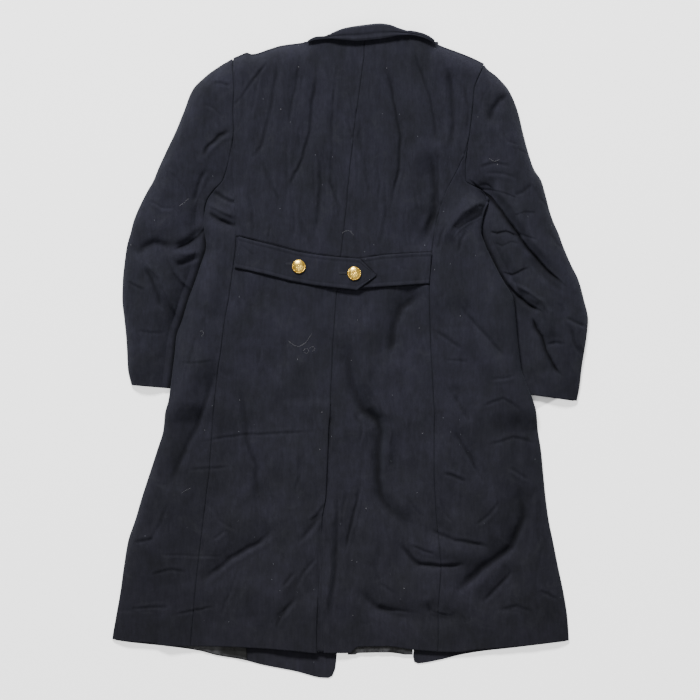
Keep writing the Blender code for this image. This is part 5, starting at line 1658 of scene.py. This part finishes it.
def make_front_lining():
    """The strip of satin that shows on the left front, above its facing."""
    places = np.linspace(*LINING_FRONT_SPAN, 50)
    low = smooth(FRONT_HEM_LEFT, places) + FACING_SHOWS
    y = between(low, smooth(BACK_HEM, places) + LINING_RUN, rimmed(95, 2.5))
    x = np.broadcast_to(places[:, None], y.shape).copy()
    z = CLOTH + LAY_GAP + np.abs(waves(x, y, FRONT_LINING_WAVES))
    # painted shadow where the back's hem shades the lining's right part
    painted_shade = ease((x + 252) / 14) * ease((y - low[:, None] - 1) / 3)
    piece = slab("lining_front_satin", x, y, z, LINING, SATIN, painted_shade)
    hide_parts("lining_front")


def make_back_lining():
    """The strip of satin that hangs under the right back and shows below its hem."""
    places = np.linspace(LINING_BACK_SPAN[0], LINING_BACK_SPAN[1] + 3, 60)
    back_hem = smooth(BACK_HEM, places)
    y = between(np.maximum(back_hem - LINING_SHOWS, LINING_LOWEST), back_hem + LINING_RUN, rimmed(80, 2.0))
    x = np.broadcast_to(places[:, None], y.shape).copy()
    z = back_height(x, np.maximum(y, HEM_HEIGHT)) - SLOPING * LINING - LINING_DROP
    z = z - np.abs(waves(x, y, BACK_LINING_WAVES))
    # painted shadow under the back's hem, and painted shade between the lining's creases
    painted_shade = ease((y - smooth(BACK_HEM, x) + 6) / 5) + ease((waves(x, y, LINING_PAINTED_SHADES) + 0.1) / 0.5)
    piece = slab("lining_back_satin", x, y, z, LINING, SATIN, np.clip(painted_shade, 0, 1))
    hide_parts("lining_back")


# ---------------------------------------------------------------- hairs and lint
def on_top(x, y):
    """Height of what shows at a place of the body or a sleeve."""
    x, y = np.atleast_1d(x), np.atleast_1d(y)
    body = lapping_surface(x, y)
    out_left = x < line("side_left", y)
    out_right = x > line("side_right", y)
    body = np.where(out_left, sleeve_surface("left")(x, y), body)
    return np.where(out_right, sleeve_surface("right")(x, y), body)


def hair_mesh(points):
    """A thin tube through a hair's points, lying on the coat."""
    path = photo(points)
    at, knots = np.linspace(0, 1, HAIR_POINTS), np.linspace(0, 1, len(path))
    x, y = (smooth(list(zip(knots, column)), at) for column in path.T)
    z = on_top(x, y) + 0.5
    run = np.gradient(np.stack([x, y], axis=1), axis=0)
    run /= np.linalg.norm(run, axis=1, keepdims=True)
    angles = 2 * np.pi * np.arange(HAIR_SIDES) / HAIR_SIDES
    ring = [np.stack([x - run[:, 1] * HAIR * np.cos(a), y + run[:, 0] * HAIR * np.cos(a),
                      z + HAIR * np.sin(a)], axis=1) for a in angles]
    n = HAIR_SIDES
    faces = [(i * n + k, i * n + (k + 1) % n, (i + 1) * n + (k + 1) % n, (i + 1) * n + k)
             for i in range(HAIR_POINTS - 1) for k in range(n)]
    return np.stack(ring, axis=1).reshape(-1, 3), faces


def make_lint():
    shapes = [hair_mesh(points) for points in HAIRS]
    for k, (x, y) in enumerate(photo(SPECKS)):
        z = float(on_top(x, y)[0]) + 0.25
        shapes.append(blob((x, y, z), (0.75 + 0.25 * (k % 3), 0.5, 0.35), 0.7 * k, 8))
    vertices, faces = join(shapes)
    make_piece("lint_and_hairs", vertices * MM, faces, LINT)


# ---------------------------------------------------------------- floor, light and camera
def glow_outside(tree, place):
    """White on the open floor and black beneath the coat, whose outline it follows a little inside."""
    reach = 1.2          # metres across that a ramp covers
    x, y = node(tree, "ShaderNodeSeparateXYZ", [("Vector", place)]).outputs[:2]
    heights, places = np.linspace(-560, 560, 29), np.linspace(-450, 450, 31)
    left = np.where(heights > -60, line("out_left", heights), line("side_left", heights)) + GLOW_MARGIN
    right = np.where(heights > -85, line("out_right", heights), line("side_right", heights)) - GLOW_MARGIN
    fold = np.where((places > COLLAR_SPAN[0]) & (places < COLLAR_SPAN[1]), smooth(COLLAR_FOLD, places), 0)
    top = np.maximum(smooth(SHOULDERS, places), fold) - GLOW_MARGIN
    low = smooth(BACK_HEM, places) + GLOW_MARGIN

    def limits(along, at, first, second):
        share = math(tree, "ADD", math(tree, "MULTIPLY", along, 1 / reach), 0.5)
        stops = [(a * MM / reach + 0.5, (f * MM, g * MM, 0, 1)) for a, f, g in zip(at, first, second)]
        return node(tree, "ShaderNodeSeparateColor", [("Color", ramp(tree, share, stops))]).outputs[:2]

    to_left, to_right = limits(y, heights, -left, right)
    to_top, to_hem = limits(x, places, top, -low)
    across = math(tree, "MINIMUM", math(tree, "ADD", to_left, x), math(tree, "SUBTRACT", to_right, x))
    along = math(tree, "MINIMUM", math(tree, "SUBTRACT", to_top, y), math(tree, "ADD", to_hem, y))
    inside = math(tree, "MULTIPLY", math(tree, "MINIMUM", across, along), 60.0)
    return greys(tree, inside, (0.0, 1.0), (0.5, 0.0))


def make_floor():
    size = 4.0
    mesh = bpy.data.meshes.new("floor")
    corners = [(-size, -size, 0), (size, -size, 0), (size, size, 0), (-size, size, 0)]
    mesh.from_pydata(corners, [], [(0, 1, 2, 3)])
    floor = bpy.data.objects.new("floor", mesh)
    floor.location.z = -0.0002
    material, tree, shader, place = new_material("pale_floor")
    shader.inputs["Base Color"].default_value = (0.92, 0.92, 0.92, 1)
    shader.inputs["Roughness"].default_value = 0.9
    tree.links.new(glow_outside(tree, place), shader.inputs["Emission Color"])
    shader.inputs["Emission Strength"].default_value = 0.9
    mesh.materials.append(material)
    bpy.context.scene.collection.objects.link(floor)


def make_lamp(name, place, width, power):
    """A rectangular lamp that looks at the coat's middle."""
    light = bpy.data.lights.new(name, "AREA")
    light.shape = "RECTANGLE"
    light.size, light.size_y = width
    light.energy = power
    lamp = bpy.data.objects.new(name, light)
    lamp.location = place
    lamp.rotation_euler = (-Vector(place)).to_track_quat("-Z", "Y").to_euler()
    bpy.context.scene.collection.objects.link(lamp)


def make_camera():
    """Straight above, so that the photograph's frame fits the picture at the height of the cloth."""
    height, cloth, film = 8.0, 0.006, 36
    camera = bpy.data.cameras.new("camera")
    camera.sensor_width = film
    camera.lens = film * (height - cloth) / (PHOTO_SIZE * PIXEL * MM)
    view = bpy.data.objects.new("camera", camera)
    view.location = (0, PIXEL * MM, height)
    view.rotation_euler = (0, 0, 0)
    bpy.context.scene.collection.objects.link(view)
    bpy.context.scene.camera = view


def make_studio():
    make_floor()
    make_lamp("key", (-1.7, 6.2, 5.0), (2.4, 1.6), 1600)
    make_lamp("fill", (0.3, -0.4, 3.0), (2.6, 2.0), 42)
    world = bpy.data.worlds.new("studio")
    world.use_nodes = True
    world.node_tree.nodes["Background"].inputs["Color"].default_value = (1, 1, 1, 1)
    world.node_tree.nodes["Background"].inputs["Strength"].default_value = 0.32
    bpy.context.scene.world = world
    make_camera()


make_studio()
make_fronts()
make_sleeves()
make_backs()
make_underlay()
make_collar_fall()
make_collar_stand()
make_collar_ends()
make_belt()
make_buttons()
make_buttonholes()
make_front_lining()
make_back_lining()
make_lint()
